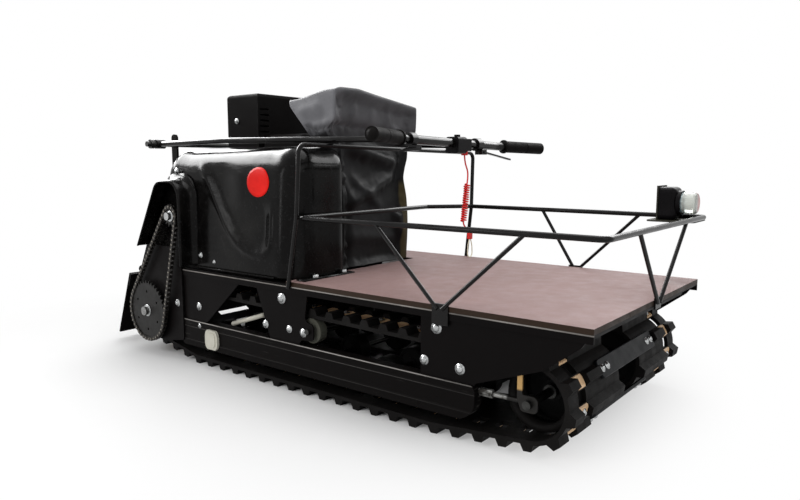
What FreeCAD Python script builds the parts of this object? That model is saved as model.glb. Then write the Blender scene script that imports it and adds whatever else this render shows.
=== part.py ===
"""Tracked snow towing vehicle: a single wide track under a cargo deck, an engine on top
and a folding tiller.

Frame, in millimetres: +X forward (towards the cargo deck), +Y left, +Z up.  The origin is
on the ground under the middle of the machine.  "Right" pieces are on the -Y side.
"""
import FreeCAD, Part
import math
import os

V = FreeCAD.Vector
SIDES = {"right": -1, "left": 1}

doc = FreeCAD.newDocument("tow_vehicle")
sheet = doc.addObject("Spreadsheet::Sheet", "Dims")
subparts = []

DIMENSIONS = {
    # deck and its frame
    "deck_front": 727, "deck_width": 600, "deck_top": 258,
    "board_length": 715, "board_thick": 10,
    "frame_rear": -563, "angle_leg": 30, "side_leg": 16, "steel_thick": 3, "plate_thick": 4,
    "member_rear": -200, "member_middle": 260, "member_front": 480, "member_reach": 290,
    # track
    "belt_inner_edge": 58, "belt_outer_edge": 286, "belt_thick": 8, "lug_gap_edge": 152,
    "lug_height": 13, "lug_root": 26, "lug_tip": 15, "lug_count": 54,
    "window_y": 231, "window_width": 36, "window_length": 24,
    "cross_plate_length": 292, "cross_plate_width": 36, "cross_plate_thick": 6,
    # wheels inside the track
    "idler_x": 610, "idler_z": 105, "idler_radius": 66, "idler_width": 30,
    "drive_x": -522, "drive_z": 123, "drive_radius": 68, "drive_teeth": 9,
    "drive_shaft_radius": 12, "drive_hub_radius": 34,
    "ramp_x": -348, "roller_spacing": 187, "roller_radius": 38, "roller_width": 34,
    "wheel_inner_y": 85, "wheel_outer_y": 180,
    "return_x": 77, "return_radius": 28, "return_width": 20, "return_outer_y": 276,
    "idler_axle_radius": 8, "roller_axle_radius": 6, "running_gap": 0.05,
    # side beams
    "beam_rear": -391, "beam_front": 507, "beam_bottom": 50, "beam_top": 118, "beam_depth": 26,
    # chain drive
    "chain_y": -317, "chain_pitch": 12.7, "sprocket_thick": 4.6,
    "large_teeth": 39, "small_teeth": 12, "jack_x": -398, "jack_z": 385.293, "jack_radius": 10,
    # hood over the transmission
    "hood_front": 32, "hood_rear": -470, "hood_top": 560, "hood_outer": -290,
    "hood_inner": -112, "hood_wall": 4, "hood_radius": 70, "housing_outer": -335,
    "housing_front": -337, "housing_crest_x": -427, "housing_rear": -537,
    "housing_bottom": 303, "housing_toe": 262, "recess_depth": 7,
    # engine and its cover
    "engine_front": -20, "engine_rear": -330, "engine_right": -90, "engine_left": 88,
    "crankcase_top": 430, "cylinder_top": 560,
    "tank_front": -134, "tank_rear": -300, "tank_right": -96, "tank_left": 110,
    "tank_bottom": 486, "tank_top": 596,
    "guard_front": -305, "guard_rear": -433, "guard_half": 100, "guard_bottom": 452,
    "guard_top": 706,
    "recoil_x": -190, "recoil_z": 362, "recoil_radius": 104, "recoil_depth": 42,
    "cover_front": 22, "cover_depth": 150, "cover_right": -150, "cover_left": 152,
    "cover_top": 686, "cover_wall": 4, "cover_corner": 22,
    # cargo basket
    "rod_diameter": 11, "rail_z": 401, "rail_y": 290, "rail_front": 739, "rail_rear": 47,
    "hoop_y": 300.5, "hoop_foot_y": 305.4, "hoop_diameter": 10, "strut_diameter": 8,
    # headlight
    "lamp_rear": 658, "lamp_front": 695, "lamp_right": 215, "lamp_left": 271,
    "lamp_height": 72, "lens_radius": 24, "lens_reach": 38,
    # tiller
    "pivot_x": -533, "pivot_z": 571, "pivot_radius": 7, "pivot_half": 292, "post_y": 205,
    "arm_diameter": 14, "arm_rear_y": 252, "arm_front_y": 190,
    "bar_x": 257, "bar_z": 566, "bar_diameter": 20, "bar_half": 339.5,
    "grip_length": 135, "grip_diameter": 29,
    # rear
    "flap_top_x": -673, "flap_top_z": 206, "flap_half": 280, "flap_thick": 5, "hitch_pin_radius": 7,
    "hitch_pin_x": -624,
}
for row, (alias, number) in enumerate(DIMENSIONS.items(), start=1):
    sheet.set("A%d" % row, alias)
    sheet.set("B%d" % row, str(number))
    sheet.setAlias("B%d" % row, alias)
doc.recompute()


class Size:
    """Reads a dimension of the sheet as a number: dim.deck_top."""

    def __getattr__(self, alias):
        return float(sheet.get(alias))


dim = Size()


# ---------------------------------------------------------------- building blocks

def subpart(feature, label):
    """Register a finished object as a sub-part that gets a file of its own."""
    feature.Label = label
    subparts.append(feature)
    return feature


def bind(feature, **expressions):
    """Tie properties to expressions over the sheet; x, y and z are the base point."""
    for name, expression in expressions.items():
        target = "Placement.Base." + name if name in ("x", "y", "z") else name
        feature.setExpression(target, str(expression))


def block(name, x, y, z, length, width, height):
    """A box from its low corner and its three sizes, all given as expressions."""
    box = doc.addObject("Part::Box", name)
    bind(box, x=x, y=y, z=z, Length=length, Width=width, Height=height)
    return box


def rod(name, axis, x, y, z, radius, length):
    """A cylinder along +X, +Y or +Z that starts at (x, y, z)."""
    turns = {"X": FreeCAD.Rotation(V(0, 1, 0), 90), "Y": FreeCAD.Rotation(V(1, 0, 0), -90),
             "Z": FreeCAD.Rotation()}
    cylinder = doc.addObject("Part::Cylinder", name)
    cylinder.Placement = FreeCAD.Placement(V(), turns[axis])
    bind(cylinder, x=x, y=y, z=z, Radius=radius, Height=length)
    return cylinder


def round_edges(name, base, radius, chosen):
    """Fillet the edges whose bounding box chosen(box) picks."""
    doc.recompute()
    result = doc.addObject("Part::Fillet", name)
    result.Base = base
    result.Edges = [(number, radius, radius)
                    for number, edge in enumerate(base.Shape.Edges, start=1)
                    if chosen(edge.BoundBox)]
    return result


def fuse(name, pieces):
    joined = doc.addObject("Part::MultiFuse", name)
    joined.Shapes = pieces
    return joined


def cut(name, base, tool):
    result = doc.addObject("Part::Cut", name)
    result.Base = base
    result.Tool = tool
    return result


def group(name, pieces):
    """Pieces of one node that do not touch, kept as separate solids."""
    bundle = doc.addObject("Part::Compound", name)
    bundle.Links = pieces
    return bundle


def feature(name, shape):
    made = doc.addObject("Part::Feature", name)
    made.Shape = shape
    return made


def outline(name, loops, y):
    """A sketch in the plane Y = y; each loop is a list of (x, z) points.

    A point given as (x, z, radius) is rounded with a tangent arc of that radius.
    """
    sketch = doc.addObject("Sketcher::SketchObject", name)
    sketch.Placement = FreeCAD.Placement(V(0, y, 0), FreeCAD.Rotation(V(1, 0, 0), 90))
    for loop in loops:
        sketch.addGeometry(rounded([V(*point[:2]) for point in loop],
                                   [point[2] if len(point) > 2 else 0 for point in loop],
                                   closed=True))
    return sketch


def rounded(points, radii, closed=False):
    """Straight runs through the points, with a tangent arc at each point with a radius."""
    count = len(points)
    starts = list(points)
    ends = list(points)
    arcs = {}
    corners = range(count) if closed else range(1, count - 1)
    for i in corners:
        if radii[i] <= 0:
            continue
        before = (points[i - 1] - points[i]).normalize()
        after = (points[(i + 1) % count] - points[i]).normalize()
        if (before + after).Length < 1e-6:
            continue
        half = math.acos(max(-1.0, min(1.0, before.dot(after)))) / 2
        reach = radii[i] / math.tan(half)
        starts[i] = points[i] + before * reach
        ends[i] = points[i] + after * reach
        middle = (before + after).normalize()
        centre = points[i] + middle * (radii[i] / math.sin(half))
        arcs[i] = Part.Arc(starts[i], centre - middle * radii[i], ends[i])
    edges = []
    for i in range(count if closed else count - 1):
        following = (i + 1) % count
        if i in arcs:
            edges.append(arcs[i])
        if (ends[i] - starts[following]).Length > 1e-6:
            edges.append(Part.LineSegment(ends[i], starts[following]))
    return edges


def plate(name, loops, y, thickness):
    """The sketched loops, extruded along +Y from y by an expression."""
    body = doc.addObject("Part::Extrusion", name)
    body.Base = outline(name + "_sketch", loops, y)
    body.DirMode = "Custom"
    body.Dir = V(0, 1, 0)
    body.Solid = True
    bind(body, LengthFwd=thickness)
    return body


def bent_rod(name, points, bend, diameter, closed=False):
    """A round rod swept along straight runs with bends of one radius."""
    spine = doc.addObject("Part::Feature", name + "_path")
    radii = [bend] * len(points)
    edges = rounded([V(*point) for point in points], radii, closed)
    spine.Shape = Part.Wire([edge.toShape() for edge in edges])
    first = spine.Shape.Edges[0]
    profile = doc.addObject("Part::Circle", name + "_profile")
    profile.Placement = FreeCAD.Placement(
        first.firstVertex(True).Point,
        FreeCAD.Rotation(V(0, 0, 1), first.tangentAt(first.FirstParameter)))
    bind(profile, Radius="%s / 2" % diameter)
    rod = doc.addObject("Part::Sweep", name)
    rod.Sections = [profile]
    rod.Spine = (spine, ["Edge%d" % (i + 1) for i in range(len(edges))])
    rod.Solid = True
    rod.Frenet = False
    return rod


# ---------------------------------------------------------------- deck and frame

def deck():
    inner_width = "Dims.deck_width - 2 * Dims.steel_thick"
    inner_right = "-Dims.deck_width / 2 + Dims.steel_thick"
    board_rear = "Dims.deck_front - Dims.board_length"
    subpart(block("board", board_rear, "-Dims.deck_width / 2", "Dims.deck_top - Dims.board_thick",
                  "Dims.board_length", "Dims.deck_width", "Dims.board_thick"), "deck_board")

    # angle sections under the board: two along the sides, six across
    span = "Dims.deck_front - Dims.frame_rear"
    flange_low = "Dims.deck_top - Dims.board_thick - Dims.steel_thick"
    leg_drop = "Dims.angle_leg - Dims.steel_thick - 5"
    pieces = []
    for side, outer, flange in (
            ("right", "-Dims.deck_width / 2", "-Dims.deck_width / 2"),
            ("left", "Dims.deck_width / 2 - Dims.steel_thick",
             "Dims.deck_width / 2 - Dims.angle_leg")):
        pieces.append(block("side_leg_" + side, "Dims.frame_rear", outer,
                            "Dims.deck_top - Dims.board_thick - Dims.side_leg",
                            span, "Dims.steel_thick", "Dims.side_leg"))
        pieces.append(block("side_flange_" + side, "Dims.frame_rear", flange, flange_low,
                            span, "Dims.angle_leg", "Dims.steel_thick"))
    front = "Dims.deck_front - Dims.angle_leg"
    members = ["Dims.frame_rear", "Dims.member_rear", board_rear, "Dims.member_middle",
               "Dims.member_front", front]
    for number, x in enumerate(members):
        pieces.append(block("cross_flange_%d" % number, x, inner_right, flange_low,
                            "Dims.angle_leg", inner_width, "Dims.steel_thick"))
        pieces.append(block("cross_leg_%d" % number, x, "-Dims.member_reach",
                            flange_low + " - (" + leg_drop + ")", "Dims.steel_thick",
                            "2 * Dims.member_reach", leg_drop))
    subpart(fuse("frame_weldment", pieces), "deck_frame")

    subpart(block("floor", "Dims.frame_rear", inner_right, "Dims.deck_top - Dims.board_thick",
                  board_rear + " - Dims.frame_rear", inner_width, "Dims.steel_thick"),
            "floor_plate")


def side_frames():
    """Gusset plates that hang from the deck frame, and the pressed beam that they carry."""
    top = dim.deck_top - dim.board_thick - dim.steel_thick
    low = dim.beam_top
    belt_line = 150
    for side, sign in SIDES.items():
        gusset_y = -297 if sign < 0 else 294
        rear = [(-457, top), (-143, top), (-289, low), (-457, low)]
        # the middle gusset has a nose that holds the axle of the return rollers
        nose = dim.return_x + 16
        middle = [(-98, top), (77, top), (66, belt_line + 24, 12), (nose, belt_line + 18, 10),
                  (nose, belt_line - 18, 10), (56, belt_line - 20, 8), (46, low), (-48, low)]
        # the front gusset sweeps up clear of the idler
        front = [(384, top), (722, top), (705, 222, 12), (640, 172, 80), (505, 122, 6),
                 (505, low), (384, low)]
        blank = plate("gusset_blank_" + side, [rear, middle, front], gusset_y,
                      "Dims.steel_thick")
        hole = rod("axle_hole_" + side, "Y", "Dims.return_x", gusset_y - 1, return_height(),
                   "Dims.roller_axle_radius + Dims.running_gap", "Dims.steel_thick + 2")
        subpart(cut("gussets_" + side, blank, hole), "side_gussets_" + side)

        near_y = -300 if sign < 0 else 300 - dim.beam_depth
        hollow_y = -297 if sign < 0 else 300 - dim.beam_depth - 1

        def section(inset):
            return [(dim.beam_rear + inset, dim.beam_bottom + inset, 12),
                    (dim.beam_front - inset, dim.beam_bottom + inset, 40 - inset),
                    (dim.beam_front - inset, dim.beam_top - inset, 12),
                    (dim.beam_rear + inset, dim.beam_top - inset, 12)]
        outer = plate("beam_outer_" + side, [section(0)], near_y, "Dims.beam_depth")
        hollow = plate("beam_hollow_" + side, [section(dim.steel_thick)], hollow_y,
                       "Dims.beam_depth - Dims.steel_thick + 1")
        subpart(cut("beam_" + side, outer, hollow), "lower_beam_" + side)

    # plates that carry the drive shaft; the right one also backs the chain
    for side, plate_y, crown, edge in (("right", -304, dim.housing_bottom, -380),
                                       ("left", 290, top, -395)):
        rear_crown = -535 if side == "right" else -560
        bearing = [(edge, crown), (rear_crown, crown), (-604, 165, 40), (-604, 60, 60),
                   (-470, 46, 30), (edge, 60, 12)]
        blank = plate("bearing_blank_" + side, [bearing], plate_y, "Dims.plate_thick")
        hole = rod("bearing_hole_" + side, "Y", "Dims.drive_x", plate_y - 1, "Dims.drive_z",
                   "Dims.drive_shaft_radius + 4", "Dims.plate_thick + 2")
        subpart(cut("bearing_cut_" + side, blank, hole), "bearing_plate_" + side)

    # flanged bearings: an oval-free round flange with a boss, bolted to each plate
    units = []
    for side, flange_y, boss_y in (("right", -300, -292), ("left", 294, 302)):
        flange = rod("bearing_flange_" + side, "Y", "Dims.drive_x", flange_y, "Dims.drive_z",
                     38, 8)
        boss = rod("bearing_boss_" + side, "Y", "Dims.drive_x", boss_y, "Dims.drive_z",
                   24, 3 if side == "right" else 8)
        bore = rod("bearing_bore_" + side, "Y", "Dims.drive_x", flange_y - 1, "Dims.drive_z",
                   "Dims.drive_shaft_radius + Dims.running_gap", 30)
        units.append(cut("bearing_unit_" + side, fuse("bearing_body_" + side, [flange, boss]),
                         bore))
    subpart(group("bearing_units", units), "drive_bearings")


def return_height():
    """Height of the return rollers' axle: they touch the belt's upper run from below."""
    share = (dim.return_x - dim.drive_x) / (dim.idler_x - dim.drive_x)
    belt_z = ((dim.drive_z + dim.drive_radius) * (1 - share)
              + (dim.idler_z + dim.idler_radius) * share)
    return belt_z - dim.return_radius - 0.5


# ---------------------------------------------------------------- track

class Loop:
    """A band or chain pulled round wheels, each (x, z, radius), taken counter-clockwise.

    line is how far the band's neutral line lies outside the wheels; an offset is measured
    outward from the wheels.  The loop is divided into count equal pitches.
    """

    def __init__(self, wheels, line, count):
        self.wheels = wheels
        self.line = line
        self.normals = [self.normal(wheel, wheels[(i + 1) % len(wheels)])
                        for i, wheel in enumerate(wheels)]
        self.measure = self.pieces(line)
        self.length = sum(length for _, length, _ in self.measure)
        self.pitch = self.length / count

    @staticmethod
    def normal(one, two):
        """Angle of the outward normal of the tangent that leaves one wheel for the next."""
        across = math.atan2(two[1] - one[1], two[0] - one[0])
        distance = math.hypot(two[0] - one[0], two[1] - one[1])
        return across - math.acos((one[2] - two[2]) / distance)

    def pieces(self, offset):
        """Runs and arcs in order: (kind, length, data)."""
        found = []
        count = len(self.wheels)
        for i in range(count):
            following = self.wheels[(i + 1) % count]
            leave = self.normals[i]
            start = self.on_wheel(self.wheels[i], leave, offset)
            end = self.on_wheel(following, leave, offset)
            found.append(("run", (end - start).Length, (start, end)))
            turn = (self.normals[(i + 1) % count] - leave) % (2 * math.pi)
            found.append(("arc", turn * (following[2] + offset), (following, leave, turn)))
        return found

    @staticmethod
    def on_wheel(wheel, angle, offset):
        reach = wheel[2] + offset
        return V(wheel[0] + reach * math.cos(angle), wheel[1] + reach * math.sin(angle), 0)

    def at(self, distance, offset):
        """Point and outward normal at a distance along the neutral line."""
        distance %= self.length
        for kind, length, data in self.measure:
            if distance <= length:
                break
            distance -= length
        if kind == "run":
            start, end = data
            along = (end - start).normalize()
            outward = V(along.y, -along.x, 0)
            return start + along * distance + outward * (offset - self.line), outward
        wheel, leave, turn = data
        angle = leave + turn * distance / length
        return self.on_wheel(wheel, angle, offset), V(math.cos(angle), math.sin(angle), 0)

    def smooth_wire(self, offset):
        edges = []
        for kind, _, data in self.pieces(offset):
            if kind == "run":
                edges.append(Part.LineSegment(*data))
            else:
                wheel, leave, turn = data
                edges.append(Part.Arc(*[self.on_wheel(wheel, leave + turn * share, offset)
                                        for share in (0, 0.5, 1)]))
        return Part.Wire([edge.toShape() for edge in edges])


def track_loop():
    """The belt's inner face runs round the first and the last road roller, the idler and
    the drive sprocket."""
    ramp_z = dim.belt_thick + dim.lug_height + dim.roller_radius
    last_x = dim.ramp_x + 4 * dim.roller_spacing
    return Loop([(dim.ramp_x, ramp_z, dim.roller_radius),
                 (last_x, ramp_z, dim.roller_radius),
                 (dim.idler_x, dim.idler_z, dim.idler_radius),
                 (dim.drive_x, dim.drive_z, dim.drive_radius)],
                dim.belt_thick / 2, int(dim.lug_count))


def toothed_wire(path, lugs):
    """The belt's outer line with a trapezium at each numbered lug."""
    outer = dim.belt_thick
    points = []
    for number in range(int(dim.lug_count)):
        centre = number * path.pitch
        if number in lugs:
            middle, outward = path.at(centre, outer + dim.lug_height)
            along = V(-outward.y, outward.x, 0) * (dim.lug_tip / 2)
            points += [path.at(centre - dim.lug_root / 2, outer)[0], middle - along,
                       middle + along, path.at(centre + dim.lug_root / 2, outer)[0]]
        else:
            points.append(path.at(centre, outer)[0])
        points += [path.at(centre + share * path.pitch, outer)[0] for share in (0.35, 0.5, 0.65)]
    return Part.makePolygon(points + points[:1])


def ring_face(outer, inner):
    """The flat face between two closed wires."""
    return Part.makeFace([outer, inner], "Part::FaceMakerBullseye")


def stand_up(shape, y):
    """Turn a shape drawn in the XY plane so that its second axis is Z, and move it to y."""
    turned = shape.copy()
    turned.Placement = FreeCAD.Placement(V(0, y, 0), FreeCAD.Rotation(V(1, 0, 0), 90))
    return turned


def strip(face, low, high):
    """Extrude a standing face from y = low to y = high."""
    return stand_up(face, low).extrude(V(0, high - low, 0))


def on_belt(path, distance, offset, shape, y):
    """Move a shape, drawn round the origin with +Z outwards, onto the belt line."""
    point, outward = path.at(distance, offset)
    angle = math.degrees(math.atan2(outward.y, outward.x)) - 90
    placed = shape.copy()
    placed.Placement = FreeCAD.Placement(V(point.x, y, point.y),
                                         FreeCAD.Rotation(V(0, 1, 0), -angle))
    return placed


def track():
    path = track_loop()
    lugs = range(int(dim.lug_count))
    inner = path.smooth_wire(0)
    plain = ring_face(path.smooth_wire(dim.belt_thick), inner)
    full = ring_face(toothed_wire(path, lugs), inner)
    alternate = ring_face(toothed_wire(path, [n for n in lugs if n % 2]), inner)
    edge = dim.window_width / 2
    window = Part.makeBox(dim.window_length, dim.window_width - 4, dim.belt_thick + 12,
                          V(-dim.window_length / 2, 2 - edge, -6))
    belts = []
    for sign in SIDES.values():
        bands = [(alternate, dim.belt_inner_edge, dim.lug_gap_edge),
                 (full, dim.lug_gap_edge, dim.window_y - edge),
                 (plain, dim.window_y - edge, dim.window_y + edge),
                 (full, dim.window_y + edge, dim.belt_outer_edge)]
        strips = [strip(face, *sorted((sign * near, sign * far))) for face, near, far in bands]
        windows = [on_belt(path, (n + 0.5) * path.pitch, 0, window, sign * dim.window_y)
                   for n in lugs]
        belts.append(strips[0].fuse(strips[1:]).cut(Part.makeCompound(windows)))
    subpart(feature("belts", Part.makeCompound(belts)), "track_belts")

    length = dim.cross_plate_length
    width = dim.cross_plate_width
    bar = Part.makeBox(width, length, dim.cross_plate_thick, V(-width / 2, -length / 2, 0))
    bar = bar.makeFillet(10, [e for e in bar.Edges if e.BoundBox.ZLength > 1])
    bar = bar.makeFillet(2, [e for e in bar.Edges if e.BoundBox.ZMin > dim.cross_plate_thick - 1])
    plates = [on_belt(path, n * path.pitch, dim.belt_thick, bar, 0) for n in lugs if n % 2 == 0]
    subpart(feature("plates", Part.makeCompound(plates)), "track_cross_plates")
    return path


# ---------------------------------------------------------------- wheels inside the track

def turned(name, profile):
    """A wheel turned round the Y axis at the origin from (radius, offset) points."""
    sketch = doc.addObject("Sketcher::SketchObject", name + "_profile")
    points = [V(radius, shift, 0) for radius, shift in profile]
    for i, point in enumerate(points):
        sketch.addGeometry(Part.LineSegment(point, points[(i + 1) % len(points)]))
    wheel = doc.addObject("Part::Revolution", name)
    wheel.Source = sketch
    wheel.Axis = V(0, 1, 0)
    wheel.Angle = 360
    wheel.Solid = True
    doc.recompute()
    return wheel


def copies(name, original, places):
    """The original's shape at several places, as one group of solids."""
    return feature(name, Part.makeCompound([original.Shape.translated(V(*place))
                                            for place in places]))


def rim_wheel(bore, hub, radius, half, web):
    """Half-section of a wheel with a rim, a thin web and a hub."""
    rim = radius - 10
    return [(bore, -half), (hub, -half), (hub, -web), (rim, -web), (rim, -half), (radius, -half),
            (radius, half), (rim, half), (rim, web), (hub, web), (hub, half), (bore, half)]


def drive_sprockets(path):
    """Toothed rings whose teeth stand in the belt windows."""
    teeth = int(dim.drive_teeth)
    arc_windows = [path.at((n + 0.5) * path.pitch, 0)[0] for n in range(int(dim.lug_count))]
    rearmost = min(arc_windows, key=lambda point: point.x)
    phase = math.atan2(rearmost.y - dim.drive_z, rearmost.x - dim.drive_x)
    radius = dim.drive_radius
    flank = [(radius - 8, -9.5), (radius, -8.5), (radius + 11, -4.5), (radius + 11, 4.5),
             (radius, 8.5), (radius - 8, 9.5)]
    disc = Part.makeCylinder(radius - 1, 22, V(0, -11, 0), V(0, 1, 0))
    hub = Part.makeCylinder(dim.drive_hub_radius, 40, V(0, -20, 0), V(0, 1, 0))
    solids = [hub]
    for number in range(teeth):
        turn = phase + 2 * math.pi * number / teeth
        corners = [V(r * math.cos(turn) - across * math.sin(turn), -8,
                     r * math.sin(turn) + across * math.cos(turn)) for r, across in flank]
        solids.append(Part.Face(Part.makePolygon(corners + corners[:1])).extrude(V(0, 16, 0)))
    bore = Part.makeCylinder(dim.drive_shaft_radius, 60, V(0, -30, 0), V(0, 1, 0))
    lightening = []
    for number in range(teeth):
        turn = phase + 2 * math.pi * (number + 0.5) / teeth
        lightening.append(Part.makeCylinder(7, 60, V(50 * math.cos(turn), -30,
                                                     50 * math.sin(turn)), V(0, 1, 0)))
    sprocket = feature("drive_sprocket", disc.fuse(solids).cut([bore] + lightening))
    return copies("drive_pair", sprocket, [(dim.drive_x, sign * dim.window_y, dim.drive_z)
                                           for sign in SIDES.values()])


def running_gear(path):
    rows = [sign * y for sign in SIDES.values() for y in (dim.wheel_inner_y, dim.wheel_outer_y)]
    subpart(rod("shaft", "Y", "Dims.drive_x", -331, "Dims.drive_z", "Dims.drive_shaft_radius",
                331 + 312), "drive_shaft")
    subpart(drive_sprockets(path), "drive_sprockets")

    bore = dim.idler_axle_radius + dim.running_gap
    idler = turned("idler", rim_wheel(bore, bore + 12, dim.idler_radius - 0.5,
                                      dim.idler_width / 2, 3))
    subpart(copies("idlers", idler, [(dim.idler_x, y, dim.idler_z) for y in rows]),
            "idler_wheels")

    # road rollers: the rearmost row is the wheel at the foot of the belt's ramp
    bore = dim.roller_axle_radius + dim.running_gap
    roller_z = dim.belt_thick + dim.lug_height + dim.roller_radius
    stations = [dim.ramp_x + number * dim.roller_spacing for number in range(5)]
    half = dim.roller_width / 2
    radius = dim.roller_radius - 0.3
    section = [(bore, -half), (bore + 8, -half), (bore + 8, 3 - half), (radius - 7, 3 - half),
               (radius - 7, -half), (radius - 3, -half), (radius, 3 - half), (radius, half - 3),
               (radius - 3, half), (radius - 7, half), (radius - 7, half - 3),
               (bore + 8, half - 3), (bore + 8, half), (bore, half)]
    roller = turned("roller", section)
    subpart(copies("rollers", roller, [(x, y, roller_z) for x in stations for y in rows]),
            "road_rollers")

    half = dim.return_width / 2
    small = turned("return_wheel", [(bore, -half), (dim.return_radius, -half),
                                    (dim.return_radius, half), (bore, half)])
    returns = [sign * y for sign in SIDES.values() for y in (95, dim.return_outer_y)]
    subpart(copies("return_wheels", small, [(dim.return_x, y, return_height())
                                            for y in returns]), "return_rollers")

    beam_inside = 297
    idler_rod = [rod("idler_rod", "Y", "Dims.idler_x", -298, "Dims.idler_z",
                     "Dims.idler_axle_radius", 596)]
    for side, sign in SIDES.items():
        idler_rod.append(rod("idler_nut_" + side, "Y", "Dims.idler_x", sign * 202 - 4,
                             "Dims.idler_z", 13, 8))
    axles = [fuse("idler_rod_nutted", idler_rod),
             rod("return_rod", "Y", "Dims.return_x", -302, return_height(),
                 "Dims.roller_axle_radius", 604)]
    for number, x in enumerate(stations):
        axles.append(rod("roller_rod_%d" % number, "Y", x, -beam_inside, roller_z,
                         "Dims.roller_axle_radius", 2 * beam_inside))
    subpart(group("axles", axles), "wheel_axles")

    # draw bolts that pull the idler axle forward: an eye on the axle, a rod and a long nut,
    # and outside each eye a T-shaped bracket that keeps the belt's edge in line
    bolts = []
    for side, sign in SIDES.items():
        y = sign * 280
        shank = rod("draw_shank_" + side, "X", "Dims.beam_front", y, "Dims.idler_z", 4.5,
                    "Dims.idler_x - Dims.beam_front - 12")
        nut = Part.makePolygon([V(dim.beam_front, y + 8 * math.cos(math.pi * k / 3),
                                  dim.idler_z + 8 * math.sin(math.pi * k / 3))
                                for k in range(7)])
        nut = feature("draw_nut_" + side, Part.Face(nut).extrude(V(28, 0, 0)))
        eye = rod("draw_eye_" + side, "Y", "Dims.idler_x", y - 6, "Dims.idler_z", 14, 12)
        tee_y = -290 if sign < 0 else 286
        tee = [(577, 169), (577, 160), (588, 160, 3), (588, 112, 6), (596, 90, 8),
               (628, 90, 10), (628, 120, 10), (598, 120, 3), (598, 160, 3), (608, 160),
               (608, 169)]
        guide = plate("belt_guide_" + side, [tee], tee_y, "Dims.plate_thick")
        bore = rod("draw_bore_" + side, "Y", "Dims.idler_x", sign * 282 - 10, "Dims.idler_z",
                   "Dims.idler_axle_radius + Dims.running_gap", 20)
        bolts.append(cut("draw_bolt_" + side,
                         fuse("draw_body_" + side, [shank, nut, eye, guide]), bore))
    subpart(group("draw_bolts", bolts), "track_tensioners")


# ---------------------------------------------------------------- chain drive

def chain_loop():
    """The chain's pitch line, and the radius of each sprocket's pitch circle on it."""
    large = dim.large_teeth * dim.chain_pitch / (2 * math.pi)
    small = dim.small_teeth * dim.chain_pitch / (2 * math.pi)
    wheels = [(dim.drive_x, dim.drive_z, large), (dim.jack_x, dim.jack_z, small)]
    links = 2 * round(Loop(wheels, 0, 1).length / dim.chain_pitch / 2)
    return Loop(wheels, 0, links), links


def chain_sprocket(wheel, teeth, seat):
    """A plate whose tooth gaps seat the rollers; seat is the angle of one roller."""
    x, z, radius = wheel
    half_pitch = dim.chain_pitch / 2
    gap = [(-4.55, 0), (-3.3, -3.3), (0, -4.65), (3.3, -3.3), (4.55, 0),
           (half_pitch - 1.05, 3.3), (half_pitch + 1.05, 3.3)]
    points = []
    for number in range(teeth):
        for along, out in gap:
            angle = seat + (number * dim.chain_pitch + along) / radius
            points.append(V(x + (radius + out) * math.cos(angle),
                            dim.chain_y - dim.sprocket_thick / 2,
                            z + (radius + out) * math.sin(angle)))
    return Part.Face(Part.makePolygon(points + points[:1])).extrude(V(0, dim.sprocket_thick, 0))


def chain_links(loop, links):
    """Rollers, inner plates and outer plates in layers that touch face to face."""
    half = dim.chain_pitch / 2

    def waisted(reach, plate_half):
        """Outline of a link plate about its middle: wide ends and a slight waist."""
        lower = [(-half - reach, -2.3), (-half - 2, -plate_half), (-half + 2, -plate_half),
                 (0, 0.9 - plate_half), (half - 2, -plate_half), (half + 2, -plate_half),
                 (half + reach, -2.3)]
        return lower + [(-u, -v) for u, v in lower]

    inner_plate = waisted(5.0, 5.35)
    outer_plate = waisted(4.7, 4.95)
    inner_low, inner_high, outer_high, pin_high = 2.6, 3.9, 5.2, 6.0
    roller_radius = 4.2
    pin_radius = 2.1

    def layer(points, low, high):
        """The polygon extruded on both sides of the chain's middle plane."""
        face = Part.Face(Part.makePolygon(points + points[:1]))
        return [stand_up(face, dim.chain_y + (low if up else -high)).extrude(
            V(0, high - low, 0)) for up in (True, False)]

    def eight(centre, radius):
        return [V(centre.x + radius * math.cos(math.pi * (k + 0.5) / 4),
                  centre.y + radius * math.sin(math.pi * (k + 0.5) / 4), 0) for k in range(8)]

    joints = [loop.at(number * loop.pitch, 0)[0] for number in range(links)]
    solids = []
    for number, start in enumerate(joints):
        end = joints[(number + 1) % links]
        middle = (start + end) * 0.5
        along = (end - start).normalize()
        across = V(-along.y, along.x, 0)
        plate_outline = inner_plate if number % 2 else outer_plate
        points = [middle + along * u + across * v for u, v in plate_outline]
        if number % 2:
            solids += layer(points, inner_low, inner_high)
        else:
            solids += layer(points, inner_high, outer_high)
        rim = eight(start, roller_radius)
        roller = Part.Face(Part.makePolygon(rim + rim[:1]))
        solids.append(stand_up(roller, dim.chain_y - inner_low).extrude(V(0, 2 * inner_low, 0)))
        solids += layer(eight(start, pin_radius), outer_high, pin_high)
    return solids[0].fuse(solids[1:]).removeSplitter()


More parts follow.
